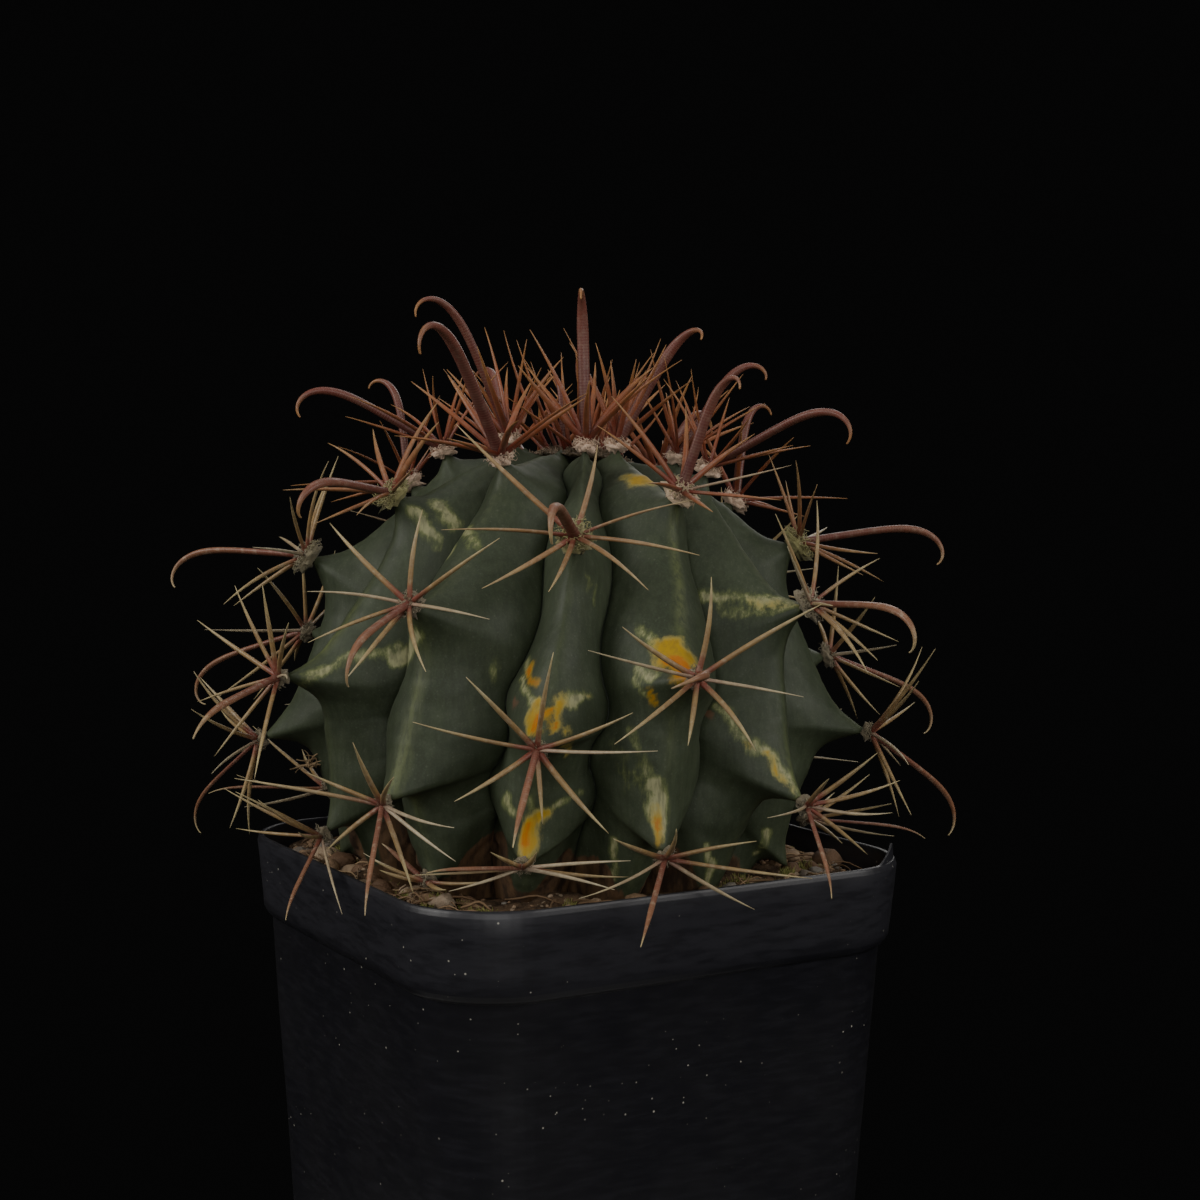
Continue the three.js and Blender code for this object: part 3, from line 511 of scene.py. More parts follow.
class Thicket:
    """What is already placed, as stretches of spines and pads, with their owners."""

    def __init__(self) -> None:
        """Starts with nothing placed."""
        self.owners: list[object] = []
        self.starts = np.zeros((0, 3))
        self.ends = np.zeros((0, 3))
        self.radii = np.zeros(0)
        self.stand = STEM.matrix()

    def add(self, owner: object, path: Array, radius: float) -> None:
        """Adds the stretches of a path.

        Args:
            owner: whose they are.
            path: its points.
            radius: its half thickness.
        """
        count = len(path) - 1
        self.owners += [owner] * count
        self.starts = np.vstack([self.starts, path[:-1]])
        self.ends = np.vstack([self.ends, path[1:]])
        self.radii = np.concatenate([self.radii, np.full(count, radius)])

    def clear_of_pot(self, path: Array) -> bool:
        """Tells whether a path stays above the grit, and above or outside the rim.

        Args:
            path: its points.

        Returns:
            True where it does.
        """
        spots = []
        for a, b in zip(path[:-1], path[1:]):
            stops = ceil(np.linalg.norm(b - a))
            spots += [a + (b - a) * k / stops for k in range(1, stops + 1)]
        p = np.array(spots) @ self.stand[:3, :3].T + self.stand[:3, 3]
        reach = np.hypot(p[:, 0], p[:, 1])
        edge = POT.reach(POT.side / 2, POT.corner, p[:, 0] / reach, p[:, 1] / reach)
        ear = (p[:, 0] > 0) & (p[:, 1] < 0) & (np.abs(p[:, 0] + p[:, 1]) < 1.6 * POT.ear_span)
        top = POT.height + SIZES.rim_clearance + ear * POT.ear_height
        over_rim = (reach > edge - SIZES.rim_margin) & (reach < edge + SIZES.rim_clearance)
        in_grit = (reach <= edge - SIZES.rim_margin) & (p[:, 2] < POT.soil_level + SIZES.grit_clearance)
        return not bool(np.any((over_rim & (p[:, 2] < top)) | in_grit))

    def clear_of_others(self, owner: object, path: Array, radius: float) -> bool:
        """Tells whether a path keeps its clearance to every other owner's stretches.

        Args:
            owner: whose path it is.
            path: its points.
            radius: its half thickness.

        Returns:
            True where it does.
        """
        if not self.owners:
            return True
        other = np.array([o is not owner for o in self.owners])
        c, second = self.starts[other], (self.ends - self.starts)[other]
        need = radius + self.radii[other] + SIZES.clearance
        bb = np.einsum("ij,ij->i", second, second)
        for a, b in zip(path[:-1], path[1:]):
            first, across = b - a, a - c
            aa, ab = first @ first, second @ first
            ac, bc = across @ first, np.einsum("ij,ij->i", second, across)
            spread = aa * bb - ab * ab
            s = np.where(spread > 1e-9, np.clip((ab * bc - ac * bb) / np.maximum(spread, 1e-9), 0, 1), 0)
            t = np.clip((ab * s + bc) / bb, 0, 1)
            s = np.clip((ab * t - ac) / aa, 0, 1) if aa > 1e-9 else np.zeros(len(t))
            gap = (a + first * s[:, None]) - (c + second * t[:, None])
            if np.any(np.einsum("ij,ij->i", gap, gap) < need * need):
                return False
        return True

    def place(self, owner: object, areole: Areole, wish: SpineWish, hooked: bool,
              radius: float) -> Spine | None:
        """Places a spine by the first attempt that is clear.

        Args:
            owner: whose it is.
            areole: where it grows.
            wish: its plan.
            hooked: whether it ends in a hook.
            radius: its half thickness.

        Returns:
            The spine, or None where it has no room.
        """
        for attempt in TRIES:
            spine = Spine(areole, wish, attempt, hooked)
            path = spine.path()
            if self.clear_of_pot(path) and self.clear_of_others(owner, path, radius):
                self.add(owner, path, radius)
                return spine
        return None


@dataclass
class Cluster:
    """An areole with its spines: the finer form of one solid."""

    areole: Areole
    central: SpineWish
    radials: list[SpineWish]
    spines: list[Spine] = field(default_factory=list)

    @classmethod
    def planned(cls, areole: Areole) -> Cluster:
        """Plans an areole's cluster, measured or drawn.

        Args:
            areole: where it grows.

        Returns:
            The cluster, with no spine placed yet.
        """
        measured = MEASURED.get((areole.rib, areole.tier), (None, None))
        draw = Draw(401 + 29 * areole.rib + 7 * areole.tier)
        low = areole.steps < -0.4
        usual = [(clock + draw(-9, 9), length + draw(-3, 3))
                 for clock, length in USUAL_RADIALS if not low or abs(clock) < 130]
        erect = max(areole.steps - SIZES.erect_steps, 0) * SIZES.erect_rise
        radials = [SpineWish(clock, SIZES.radial_elevation + erect + draw(-4, 6), length)
                   for clock, length in measured[1] or usual]
        if measured[0]:
            return cls(areole, SpineWish(*measured[0]), radials)
        hooked = areole.steps > 0.1
        clock = 180 + draw(-40, 40)
        elevation = draw(50, 62) + (8 if areole.steps > 1.4 else 0)
        length = SIZES.central_length + draw(-3, 3) if hooked else draw(20, 26)
        turn = SIZES.hook_turn - draw(0, 30) if hooked else draw(15, 50)
        return cls(areole, SpineWish(clock, elevation, length, turn), radials)

    def grow(self, thicket: Thicket, wish: SpineWish, hooked: bool, radius: float) -> None:
        """Adds a spine where there is room for it.

        Args:
            thicket: what is already placed.
            wish: how the spine is planned.
            hooked: whether it ends in a hook.
            radius: its half thickness.
        """
        spine = thicket.place(self, self.areole, wish, hooked, radius)
        if spine:
            self.spines.append(spine)


def pad_span(areole: Areole) -> Array:
    """Returns the two ends of an areole's pad, for clearances."""
    half = areole.up * 0.3 * SIZES.pad_length
    return np.array([areole.root - half, areole.root + half])


def plan_clusters(thicket: Thicket) -> list[Cluster]:
    """Places every areole's cluster, in the same order and by the same rule as the solids.

    Args:
        thicket: what is already placed, which grows.

    Returns:
        The clusters with their spines.
    """
    raised = POT.gap + SIZES.pad_thickness
    areoles = [Areole.at(rib, tier, raised) for rib in range(-6, 7) for tier in range(-4, 6)]
    areoles = [a for a in areoles if SIZES.lowest < a.steps < SIZES.highest]
    areoles = [a for a in areoles if thicket.clear_of_pot(pad_span(a))]
    clusters = [Cluster.planned(a) for a in sorted(areoles, key=lambda a: a.steps)]
    for cluster in clusters:
        thicket.add(cluster, pad_span(cluster.areole), SIZES.pad_width)
    for cluster in clusters:
        cluster.grow(thicket, cluster.central, True, SIZES.central_radius)
    for cluster in clusters:
        for wish in cluster.radials:
            cluster.grow(thicket, wish, False, SIZES.radial_radius)
    return clusters


def plan_crown(thicket: Thicket) -> list[Spine]:
    """Places the young spines in the crown, by the same rule as the solid.

    Args:
        thicket: what is already placed, which grows.

    Returns:
        The spines.
    """
    draw = Draw(77)
    spines = []
    count = SIZES.crown_hooks + SIZES.crown_spines
    height = STEM.curve(STEM.crown_step)[0, 1] + SIZES.crown_root_rise
    sky = np.array([0, 0, 1.0])
    for i in range(count):
        hooked = i < SIZES.crown_hooks
        angle = radians(SIZES.crown_spiral * i + draw(-12, 12))
        reach = SIZES.crown_spread * sqrt(0.5 if hooked else (i + 0.5) / count)
        splay = radians((12 if hooked else 22) + 5 * reach * (0.3 if hooked else 1))
        radial = np.array([sin(angle), -cos(angle), 0])
        areole = Areole(
            0, i, 3, sky * sin(splay) - radial * cos(splay),
            np.array([cos(angle), sin(angle), 0]),
            sky * cos(splay) + radial * sin(splay), radial * reach + sky * height)
        wish = SpineWish(draw(-60, 60), draw(68, 88), draw(*SIZES.crown_length) + 6 * hooked, 150)
        radius = SIZES.crown_hook_radius if hooked else SIZES.crown_spine_radius
        spine = thicket.place("crown", areole, wish, hooked, radius)
        if spine:
            spines.append(spine)
    return spines


class Ripples:
    """Smooth noise: the sum of many waves in seeded directions."""

    def __init__(self, seed: int, wavelength: float, waves: int = 18) -> None:
        """Draws the waves.

        Args:
            seed: whole number that names the draw.
            wavelength: usual length of a wave, in millimetres.
            waves: how many waves are summed.
        """
        draw = Draw(seed)
        turn = np.array([draw(0, tau) for _ in range(waves)])
        rise = np.array([draw(-1, 1) for _ in range(waves)])
        pace = np.array([tau / wavelength * draw(0.6, 1.5) for _ in range(waves)])
        flat = np.sqrt(1 - rise**2)
        self.waves = np.stack([flat * np.cos(turn), flat * np.sin(turn), rise]) * pace
        self.phases = np.array([draw(0, tau) for _ in range(waves)])

    def __call__(self, points: Array) -> Array:
        """Returns the noise at points, mostly between -1 and 1."""
        return np.sin(points @ self.waves + self.phases).sum(axis=1) / sqrt(len(self.phases))


class MeshBag:
    """Gathers shells with point attributes, and makes one piece of them."""

    def __init__(self, *attributes: str) -> None:
        """Starts empty.

        Args:
            attributes: names of the point attributes that the shells carry.
        """
        self.points: list[Array] = []
        self.faces: list[Array] = []
        self.values: dict[str, list[Array]] = {name: [] for name in attributes}
        self.count = 0

    def add(self, points: Array, faces: list[Array], **values: Array | float) -> None:
        """Adds one shell.

        Args:
            points: its points in the part's millimetres.
            faces: arrays of corner numbers, one array for triangles and one for four-sided faces.
            values: attribute values, one for each point or one for all, 0 where none is given.
        """
        self.points.append(points)
        self.faces += [corners + self.count for corners in faces if len(corners)]
        self.count += len(points)
        for name, kept in self.values.items():
            kept.append(np.broadcast_to(np.asarray(values.get(name, 0), np.float32), len(points)))

    def piece(self, name: str, finish: Finish, slot: str, *nodes: str) -> None:
        """Makes one object of the shells, riding on the root body.

        Args:
            name: the piece's name.
            finish: how it looks.
            slot: the record's material slot, not used.
            nodes: the solids that it stands for.
        """
        mesh = bpy.data.meshes.new(name)
        corners = np.concatenate([f.ravel() for f in self.faces]).astype(np.int32)
        sizes = np.concatenate([np.full(len(f), f.shape[1]) for f in self.faces])
        starts = np.concatenate([[0], np.cumsum(sizes)[:-1]]).astype(np.int32)
        points = np.concatenate(self.points) * MM
        mesh.vertices.add(len(points))
        mesh.vertices.foreach_set("co", points.astype(np.float32).ravel())
        mesh.loops.add(len(corners))
        mesh.loops.foreach_set("vertex_index", corners)
        mesh.polygons.add(len(starts))
        mesh.polygons.foreach_set("loop_start", starts)
        mesh.update(calc_edges=True)
        for key, kept in self.values.items():
            layer = mesh.attributes.new(key, "FLOAT", "POINT")
            layer.data.foreach_set("value", np.concatenate(kept))
        mesh.shade_smooth()
        piece = bpy.data.objects.new(name, mesh)
        bpy.context.scene.collection.objects.link(piece)
        dress(piece, finish, nodes)


def dress(piece: bpy.types.Object, finish: Finish, nodes: tuple[str, ...]) -> None:
    """Gives a piece its looks and its place in the frame.

    Args:
        piece: the object.
        finish: how it looks.
        nodes: the solids that it stands for.
    """
    piece.data.materials.clear()
    piece.data.materials.append(finish.material())
    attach(piece, "root")
    if nodes:
        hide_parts(*nodes)
    LOG.info("%s: %d faces", piece.name, len(piece.data.polygons))


def stacked(rings: Array, ends: Array) -> Shell:
    """Closes a body of stacked rings.

    Args:
        rings: the points, by ring and then around it.
        ends: the two points that close it, below and above.

    Returns:
        The points, ring by ring and then the two ends, and the faces.
    """
    count, sides = rings.shape[:2]
    k = np.arange(sides)
    after = (k + 1) % sides
    row = (np.arange(count - 1) * sides)[:, None]
    walls = np.stack([row + k, row + after, row + sides + after, row + sides + k], -1).reshape(-1, 4)
    low, top = count * sides, (count - 1) * sides
    caps = np.vstack([np.stack([np.full(sides, low), after, k], 1),
                      np.stack([np.full(sides, low + 1), top + k, top + after], 1)])
    return np.vstack([rings.reshape(-1, 3), ends]), [walls, caps]


def tube(path: Array, wide: Array, thick: Array, across: Array, sides: int) -> Shell:
    """Makes a closed tube.

    Args:
        path: the points along its middle.
        wide: half widths along across, one for each point.
        thick: half thicknesses, one for each point.
        across: direction of the width.
        sides: how many sides it has.

    Returns:
        The points, ring by ring and then the two end points, and the faces.
    """
    ahead = unit(np.gradient(path, axis=0))
    side = unit(across - ahead * (ahead @ across)[:, None])
    over = np.cross(ahead, side)
    angle = np.arange(sides) * tau / sides
    rings = (path[:, None] + side[:, None] * (wide[:, None] * np.cos(angle))[..., None]
             + over[:, None] * (thick[:, None] * np.sin(angle))[..., None])
    return stacked(rings, path[[0, -1]])


def along_tube(values: Array, sides: int) -> Array:
    """Returns a value for each point of a tube, from one value for each ring."""
    return np.concatenate([np.repeat(values, sides), values[:1], values[-1:]])


def rounded(facets: int) -> tuple[Array, Array]:
    """Makes a round ball of radius one.

    Args:
        facets: its subdivision level.

    Returns:
        The points and the faces.
    """
    bpy.ops.object.select_all(action="DESELECT")
    bpy.ops.mesh.primitive_ico_sphere_add(subdivisions=facets, radius=1)
    ball = bpy.context.object
    points = np.array([v.co for v in ball.data.vertices])
    faces = np.array([p.vertices[:] for p in ball.data.polygons])
    bpy.data.meshes.remove(ball.data)
    return points, faces


class Tree:
    """Wires the nodes of one material or one node group."""

    def __init__(self, tree: bpy.types.NodeTree) -> None:
        """Takes the tree to wire."""
        self.tree = tree

    def put(self, socket: Socket, value: object) -> None:
        """Sets a socket, or links it where the value is another socket.

        Args:
            socket: an input.
            value: a number, a colour, a vector or an output.
        """
        if isinstance(value, Socket):
            self.tree.links.new(value, socket)
        elif isinstance(value, tuple) and len(value) == 3 and socket.type == "RGBA":
            socket.default_value = (*value, 1)
        else:
            socket.default_value = value

    def node(self, kind: str, inputs: dict, output: int | str = 0, **settings: object) -> Socket:
        """Adds a node.

        Args:
            kind: its type.
            inputs: what its inputs take, by name or number.
            output: which of its outputs is asked for.
            settings: its own settings.

        Returns:
            That output.
        """
        node = self.tree.nodes.new(kind)
        for name, value in settings.items():
            setattr(node, name, value)
        for name, value in inputs.items():
            self.put(node.inputs[name], value)
        return node.outputs[output]

    def math(self, operation: str, *values: object, clamp: bool = False) -> Socket:
        """Returns the result of a Math node."""
        return self.node("ShaderNodeMath", dict(enumerate(values)), operation=operation, use_clamp=clamp)

    def times(self, first: object, second: object) -> Socket:
        """Returns the product of two values."""
        return self.math("MULTIPLY", first, second)

    def plus(self, first: object, second: object) -> Socket:
        """Returns the sum of two values."""
        return self.math("ADD", first, second)

    def mix(self, factor: object, first: object, second: object) -> Socket:
        """Returns the mix of two colours."""
        inputs = {"Factor": factor, 6: first, 7: second}
        return self.node("ShaderNodeMix", inputs, 2, data_type="RGBA")

    def ramp(self, value: object, low: object, high: object, start: float = 0, end: float = 1) -> Socket:
        """Returns the smooth step of a value, from start at low to end at high."""
        inputs = dict(enumerate((value, low, high, start, end)))
        return self.node("ShaderNodeMapRange", inputs, interpolation_type="SMOOTHSTEP")

    def noise(self, at: Socket, scale: object, detail: float = 2, rough: float = 0.5) -> Socket:
        """Returns a noise value at a place."""
        inputs = {"Vector": at, "Scale": scale, "Detail": detail, "Roughness": rough}
        return self.node("ShaderNodeTexNoise", inputs, "Fac")

    def place(self, tall: float = 1) -> Socket:
        """Returns Object coordinates, with the height times a number."""
        where = self.node("ShaderNodeTexCoord", {}, "Object")
        return where if tall == 1 else self.node(
            "ShaderNodeMapping", {"Vector": where, "Scale": (1, 1, tall)}, "Vector")

    def layered(self, colour: object, *layers: tuple) -> Socket:
        """Puts layers over a colour.

        Args:
            colour: the lowest colour.
            layers: a mask and a colour each, from below.

        Returns:
            The colour that shows.
        """
        for mask, tint in layers:
            colour = self.mix(mask, colour, tint)
        return colour

    def kept(self, name: str) -> Socket:
        """Returns a point attribute."""
        return self.node("ShaderNodeAttribute", {}, "Fac", attribute_name=name)

    def bump(self, height: Socket, depth: float, strength: float = 1, **under: Socket) -> Socket:
        """Returns the normal of a height with its depth in metres, over another one named Normal."""
        inputs = {"Height": height, "Distance": depth, "Strength": strength, **under}
        return self.node("ShaderNodeBump", inputs, "Normal")

    def mottle(self, at: Socket, scale: float, spread: float) -> Socket:
        """Returns soft blotches of two sizes, by their scale and the spread of their edge."""
        inputs = {"Vector": at, "Scale": scale, "Spread": spread}
        return self.node("ShaderNodeGroup", inputs, node_tree=bpy.data.node_groups["mottle"])

    def specks(self, at: Socket, scale: float, share: float, size: float) -> Socket:
        """Returns small separate specks, by their scale, share of the cells and size."""
        inputs = {"Vector": at, "Scale": scale, "Share": share, "Size": size}
        return self.node("ShaderNodeGroup", inputs, node_tree=bpy.data.node_groups["specks"])


class Group(Tree):
    """A node group with a vector and numbers as its inputs, and one number as its result."""

    def __init__(self, name: str, **numbers: float) -> None:
        """Opens the group.

        Args:
            name: its name.
            numbers: its number inputs and their usual values.
        """
        super().__init__(bpy.data.node_groups.new(name, "ShaderNodeTree"))
        sockets = self.tree.interface
        sockets.new_socket("Vector", in_out="INPUT", socket_type="NodeSocketVector")
        for key, value in numbers.items():
            socket = sockets.new_socket(key, in_out="INPUT", socket_type="NodeSocketFloat")
            socket.default_value = value
        sockets.new_socket("Mask", in_out="OUTPUT", socket_type="NodeSocketFloat")
        self.given = self.tree.nodes.new("NodeGroupInput").outputs
        self.result = self.tree.nodes.new("NodeGroupOutput").inputs[0]

    @classmethod
    def add_specks(cls) -> None:
        """Builds the group of small separate specks."""
        tree = cls("specks", Scale=800, Share=0.3, Size=0.3)
        inputs = {name: tree.given[name] for name in ("Vector", "Scale")}
        distance = tree.node("ShaderNodeTexVoronoi", inputs, "Distance", feature="F1")
        pick = tree.node("ShaderNodeSeparateColor", {0: distance.node.outputs["Color"]}).node.outputs
        chosen = tree.math("LESS_THAN", pick[0], tree.given["Share"])
        size = tree.times(pick[1], tree.given["Size"])
        spot = tree.ramp(tree.math("SUBTRACT", size, distance), 0, 0.08)
        tree.put(tree.result, tree.times(spot, chosen))

    @classmethod
    def add_mottle(cls) -> None:
        """Builds the group of soft blotches."""
        tree = cls("mottle", Scale=100, Spread=0.2)
        at, scale, spread = (tree.given[name] for name in ("Vector", "Scale", "Spread"))
        broad = tree.noise(at, scale, 3, 0.55)
        close = tree.noise(at, tree.times(scale, 4.3), 4, 0.6)
        both = tree.plus(tree.times(broad, 0.65), tree.times(close, 0.35))
        edge = tree.ramp(both, tree.math("SUBTRACT", 0.5, spread), tree.plus(0.5, spread))
        tree.put(tree.result, edge)


@dataclass(frozen=True)
class Finish:
    """What the finishes share: a name, and a material that is built once."""

    name: str

    def wired(self, tree: Tree) -> dict[str, object]:
        """Wires the finish and returns what its shader takes, by input name."""
        raise NotImplementedError

    @cache
    def material(self) -> bpy.types.Material:
        """Builds the material at the first call.

        Returns:
            The same material at each call.
        """
        material = bpy.data.materials.new(self.name)
        material.use_nodes = True
        tree = Tree(material.node_tree)
        shader = next(node for node in material.node_tree.nodes if node.type == "BSDF_PRINCIPLED")
        for key, value in self.wired(tree).items():
            tree.put(shader.inputs[key], value)
        return material


@dataclass(frozen=True)
class SkinFinish(Finish):
    """Waxy grey-green skin with cream, yellow and orange marks, cork at the foot, and painted shade along
    the grooves.
    """

    name: str = "waxy_skin"
    deep: Colour = (0.036, 0.048, 0.025)
    light: Colour = (0.055, 0.071, 0.038)
    ridge: Colour = (0.16, 0.19, 0.06)
    bloom: Colour = (0.12, 0.135, 0.1)
    cream: Colour = (0.36, 0.355, 0.19)
    straw: Colour = (0.42, 0.35, 0.09)
    yellow: Colour = (0.4, 0.245, 0.004)
    orange: Colour = (0.44, 0.135, 0.001)
    cork: Colour = (0.13, 0.074, 0.036)
    cork_dark: Colour = (0.034, 0.02, 0.012)
    scar: Colour = (0.15, 0.08, 0.045)
    streak: Colour = (0.02, 0.027, 0.014)
    # Painted shade: near-black green laid along the folds of the grooves
    crease: Colour = (0.008, 0.012, 0.007)

    def wired(self, tree: Tree) -> dict[str, object]:
        """Wires the finish.

        Args:
            tree: the material's nodes.

        Returns:
            What the shader takes.
        """
        at, brushed = tree.place(), tree.place(0.32)
        ramp, noise, times, plus = tree.ramp, tree.noise, tree.times, tree.plus
        streaks = noise(tree.place(0.2), 1100, 3, 0.6)
        colour = tree.layered(
            self.deep,
            (tree.mottle(at, 75, 0.16), self.light),
            (times(tree.specks(at, 1500, 0.5, 0.34), 0.28), self.bloom),
            (ramp(noise(at, 2600, 2, 0.6), 0.42, 0.72, 0, 0.16), self.bloom),
            (ramp(noise(brushed, 260, 4, 0.6), 0.4, 0.85, 0, 0.14), self.bloom),
            (ramp(streaks, 0.35, 0.65, 0.3, 0), self.streak),
            (times(tree.kept("pale"), ramp(streaks, 0.3, 0.6, 0.3, 0.9)), self.ridge),
            # Painted shade darkens the skin in the fold of each groove
            (ramp(tree.kept("crest"), 0.004, 0.028, 0.85, 0), self.crease))
        ragged = plus(noise(brushed, 420, 6, 0.72), -0.5)
        fine = plus(noise(brushed, 1500, 4, 0.7), -0.5)
        edge = plus(times(ragged, 3.6), times(fine, 2))
        for name, rim, tint, rag, gaps in (
                ("cream", self.ridge, self.cream, 0.45, 0.55),
                ("yellow", self.straw, self.yellow, 0.36, 0.75),
                ("orange", self.yellow, self.orange, 0.34, 0.85)):
            value = plus(tree.kept(name), times(edge, rag))
            mask = times(ramp(value, 0.08, 0.85), ramp(tree.kept(name), 0.04, 0.32))
            mask = times(mask, ramp(streaks, 0.36, 0.58, gaps, 0.97))
            colour = tree.mix(mask, colour, tree.mix(ramp(value, 0.4, 1), rim, tint))
        bark = tree.mix(ramp(noise(brushed, 420, 5, 0.65), 0.35, 0.65), self.cork_dark, self.cork)
        corky = ramp(plus(tree.kept("cork"), times(ragged, 0.9)), 0.42, 0.62)
        scar = tree.kept("scar")
        scarred = times(ramp(plus(scar, times(edge, 0.3)), 0.2, 0.8, 0, 0.8), ramp(scar, 0, 0.2))
        shine = ramp(noise(at, 180, 3), 0.3, 0.7, 0.5, 0.63)
        normal = tree.bump(times(noise(at, 1400, 3), plus(corky, 0.25)), 0.00012, 0.6)
        return {
            "Base Color": tree.layered(colour, (corky, bark), (scarred, self.scar)),
            "Roughness": tree.math("ADD", shine, times(corky, 0.3), clamp=True),
            "Normal": tree.bump(noise(brushed, 330, 3), 0.0002, 0.35, Normal=normal),
            "Specular IOR Level": 0.32,
        }


@dataclass(frozen=True)
class SpineFinish(Finish):
    """Horny spines: ringed rose-brown centrals, and radials that pale towards the tip."""

    name: str = "horny_spine"
    root: Colour = (0.21, 0.055, 0.036)
    middle: Colour = (0.3, 0.195, 0.08)
    tip: Colour = (0.47, 0.39, 0.2)
    rose: Colour = (0.16, 0.04, 0.029)
    tan: Colour = (0.25, 0.115, 0.06)
    white: Colour = (0.56, 0.5, 0.36)
    flame: Colour = (0.15, 0.02, 0.012)
    rust: Colour = (0.26, 0.064, 0.022)
    gold: Colour = (0.37, 0.175, 0.055)
    mauve: Colour = (0.095, 0.023, 0.022)
    dusk: Colour = (0.17, 0.052, 0.038)
    ring: Colour = (0.46, 0.32, 0.23)
    fleck: Colour = (0.14, 0.08, 0.055)

    def wired(self, tree: Tree) -> dict[str, object]:
        """Wires the finish.

        Args:
            tree: the material's nodes.

        Returns:
            What the shader takes.
        """
        at = tree.place()
        ramp, times, layered = tree.ramp, tree.times, tree.layered
        along, tone, kind, young = (tree.kept(name) for name in ("along", "tone", "kind", "young"))
        wander = times(tree.plus(tree.noise(at, 240, 2), -0.5), 0.3)
        reach = tree.plus(along, wander)
        worn = tree.plus(reach, times(tone, 0.25))
        fresh = layered(self.flame, (ramp(reach, 0, 0.4), self.rust), (ramp(reach, 0.4, 1.05), self.gold))
        hook = layered(self.mauve, (ramp(reach, 0.1, 0.9), self.dusk), (ramp(reach, 0.82, 1.03), self.gold))
        radial = layered(
            self.root, (ramp(reach, 0.04, 0.26), self.middle), (ramp(reach, 0.3, 1.02), self.tip),
            (times(ramp(tone, 0.55, 0.95), 0.6), self.white),
            (times(young, ramp(tone, 0.78, 0.92, 1, 0.15)), fresh))
        central = layered(
            self.rose, (ramp(worn, 0.08, 0.9), self.tan), (ramp(reach, 0.8, 1.04), self.tip), (young, hook))
        band = tree.math("SINE", times(tree.kept("reach"), tau / SpineShape.ring_pitch))
        band = ramp(tree.plus(band, times(wander, 6)), 0, 1, 0, 0.13)
        band = times(band, ramp(along, 0.55, 0.8, 1, 0))
        chalk = ramp(tree.noise(at, 800, 3, 0.6), 0.5, 0.72, 0, 0.26)
        colour = layered(
            radial, (ramp(kind, 0.4, 0.6), central),
            (times(band, ramp(kind, 0.2, 0.6, 0.4, 1)), self.ring),
            (times(tree.mottle(at, 520, 0.1), 0.32), self.fleck),
            (times(chalk, ramp(young, 0, 1, 1, 0.25)), self.white))
        return {
            "Base Color": colour,
            "Roughness": ramp(tree.noise(at, 900, 2), 0.3, 0.7, 0.36, 0.52),
            "Normal": tree.bump(tree.noise(at, 1300, 2), 0.00003, 0.5),
            "Specular IOR Level": 0.4,
        }


@dataclass(frozen=True)
class WoolFinish(Finish):
    """Felted areole wool, from grey-white through yellow-green to pinkish cream, darkened by a soiled
    mottle and by painted shade.
    """

    name: str = "areole_wool"
    grey: Colour = (0.43, 0.38, 0.28)
    green: Colour = (0.43, 0.41, 0.18)
    cream: Colour = (0.88, 0.65, 0.49)
    # Dark brown laid as grime by the soiled mottle, and by the shade attribute as painted shade on pads and
    # crown plus darker old and random hairs
    shade: Colour = (0.1, 0.075, 0.042)

    def wired(self, tree: Tree) -> dict[str, object]:
        """Wires the finish.

        Args:
            tree: the material's nodes.

        Returns:
            What the shader takes.
        """
        at, tone = tree.place(), tree.kept("tone")
        soiled = tree.mottle(at, 700, 0.15)
        colour = tree.layered(
            self.grey, (tree.ramp(tone, 0.05, 0.5), self.green), (tree.ramp(tone, 0.5, 0.95), self.cream),
            (tree.times(soiled, 0.3), self.shade), (tree.kept("shade"), self.shade))
        return {
            "Base Color": colour,
            "Roughness": tree.ramp(soiled, 0, 1, 0.8, 0.95),
            "Normal": tree.bump(tree.noise(at, 3000, 3), 0.0002, 0.7),
            "Specular IOR Level": 0.15,
            "Sheen Weight": 0.12,
            "Sheen Roughness": 0.5,
        }


@dataclass(frozen=True)
class PlasticFinish(Finish):
    """Near-black satin nursery plastic with faint streaks, mineral specks, and a painted sheen on the rim
    band.
    """

    name: str = "nursery_plastic"
    black: Colour = (0.009, 0.009, 0.0118)
    worn: Colour = (0.013, 0.013, 0.017)
    # Painted sheen: the lighter grey laid over the rim band
    band_sheen: Colour = (0.026, 0.026, 0.0315)
    dust: Colour = (0.42, 0.4, 0.34)
    band_foot: float = 0.0795

    def wired(self, tree: Tree) -> dict[str, object]:
        """Wires the finish.

        Args:
            tree: the material's nodes.

        Returns:
            What the shader takes.
        """
        at = tree.place()
        streaks = tree.noise(tree.place(5), 150, 5, 0.6)
        height = tree.node("ShaderNodeSeparateXYZ", {0: at}, "Z")
        # The rim band is painted lighter than the walls, in streaks: painted sheen
        band = tree.ramp(height, self.band_foot, self.band_foot + 0.003, 0, 0.8)
        patch = tree.ramp(tree.noise(at, 34, 2), 0.38, 0.53)
        colour = tree.layered(
            self.black, (tree.ramp(streaks, 0.4, 0.75), self.worn),
            (tree.times(tree.mottle(at, 45, 0.2), 0.009), self.dust),
            (tree.times(band, tree.ramp(streaks, 0.3, 0.6, 0.3, 1)), self.band_sheen),
            (tree.times(tree.specks(at, 520, 0.9, 0.14), patch), self.dust))
        grain = tree.bump(tree.noise(at, 1500, 3), 0.00004, 0.3)
        return {
            "Base Color": colour,
            "Roughness": tree.ramp(streaks, 0.3, 0.75, 0.37, 0.42),
            "Normal": tree.bump(streaks, 0.00004, 0.1, Normal=grain),
            "Specular IOR Level": 0.5,
        }


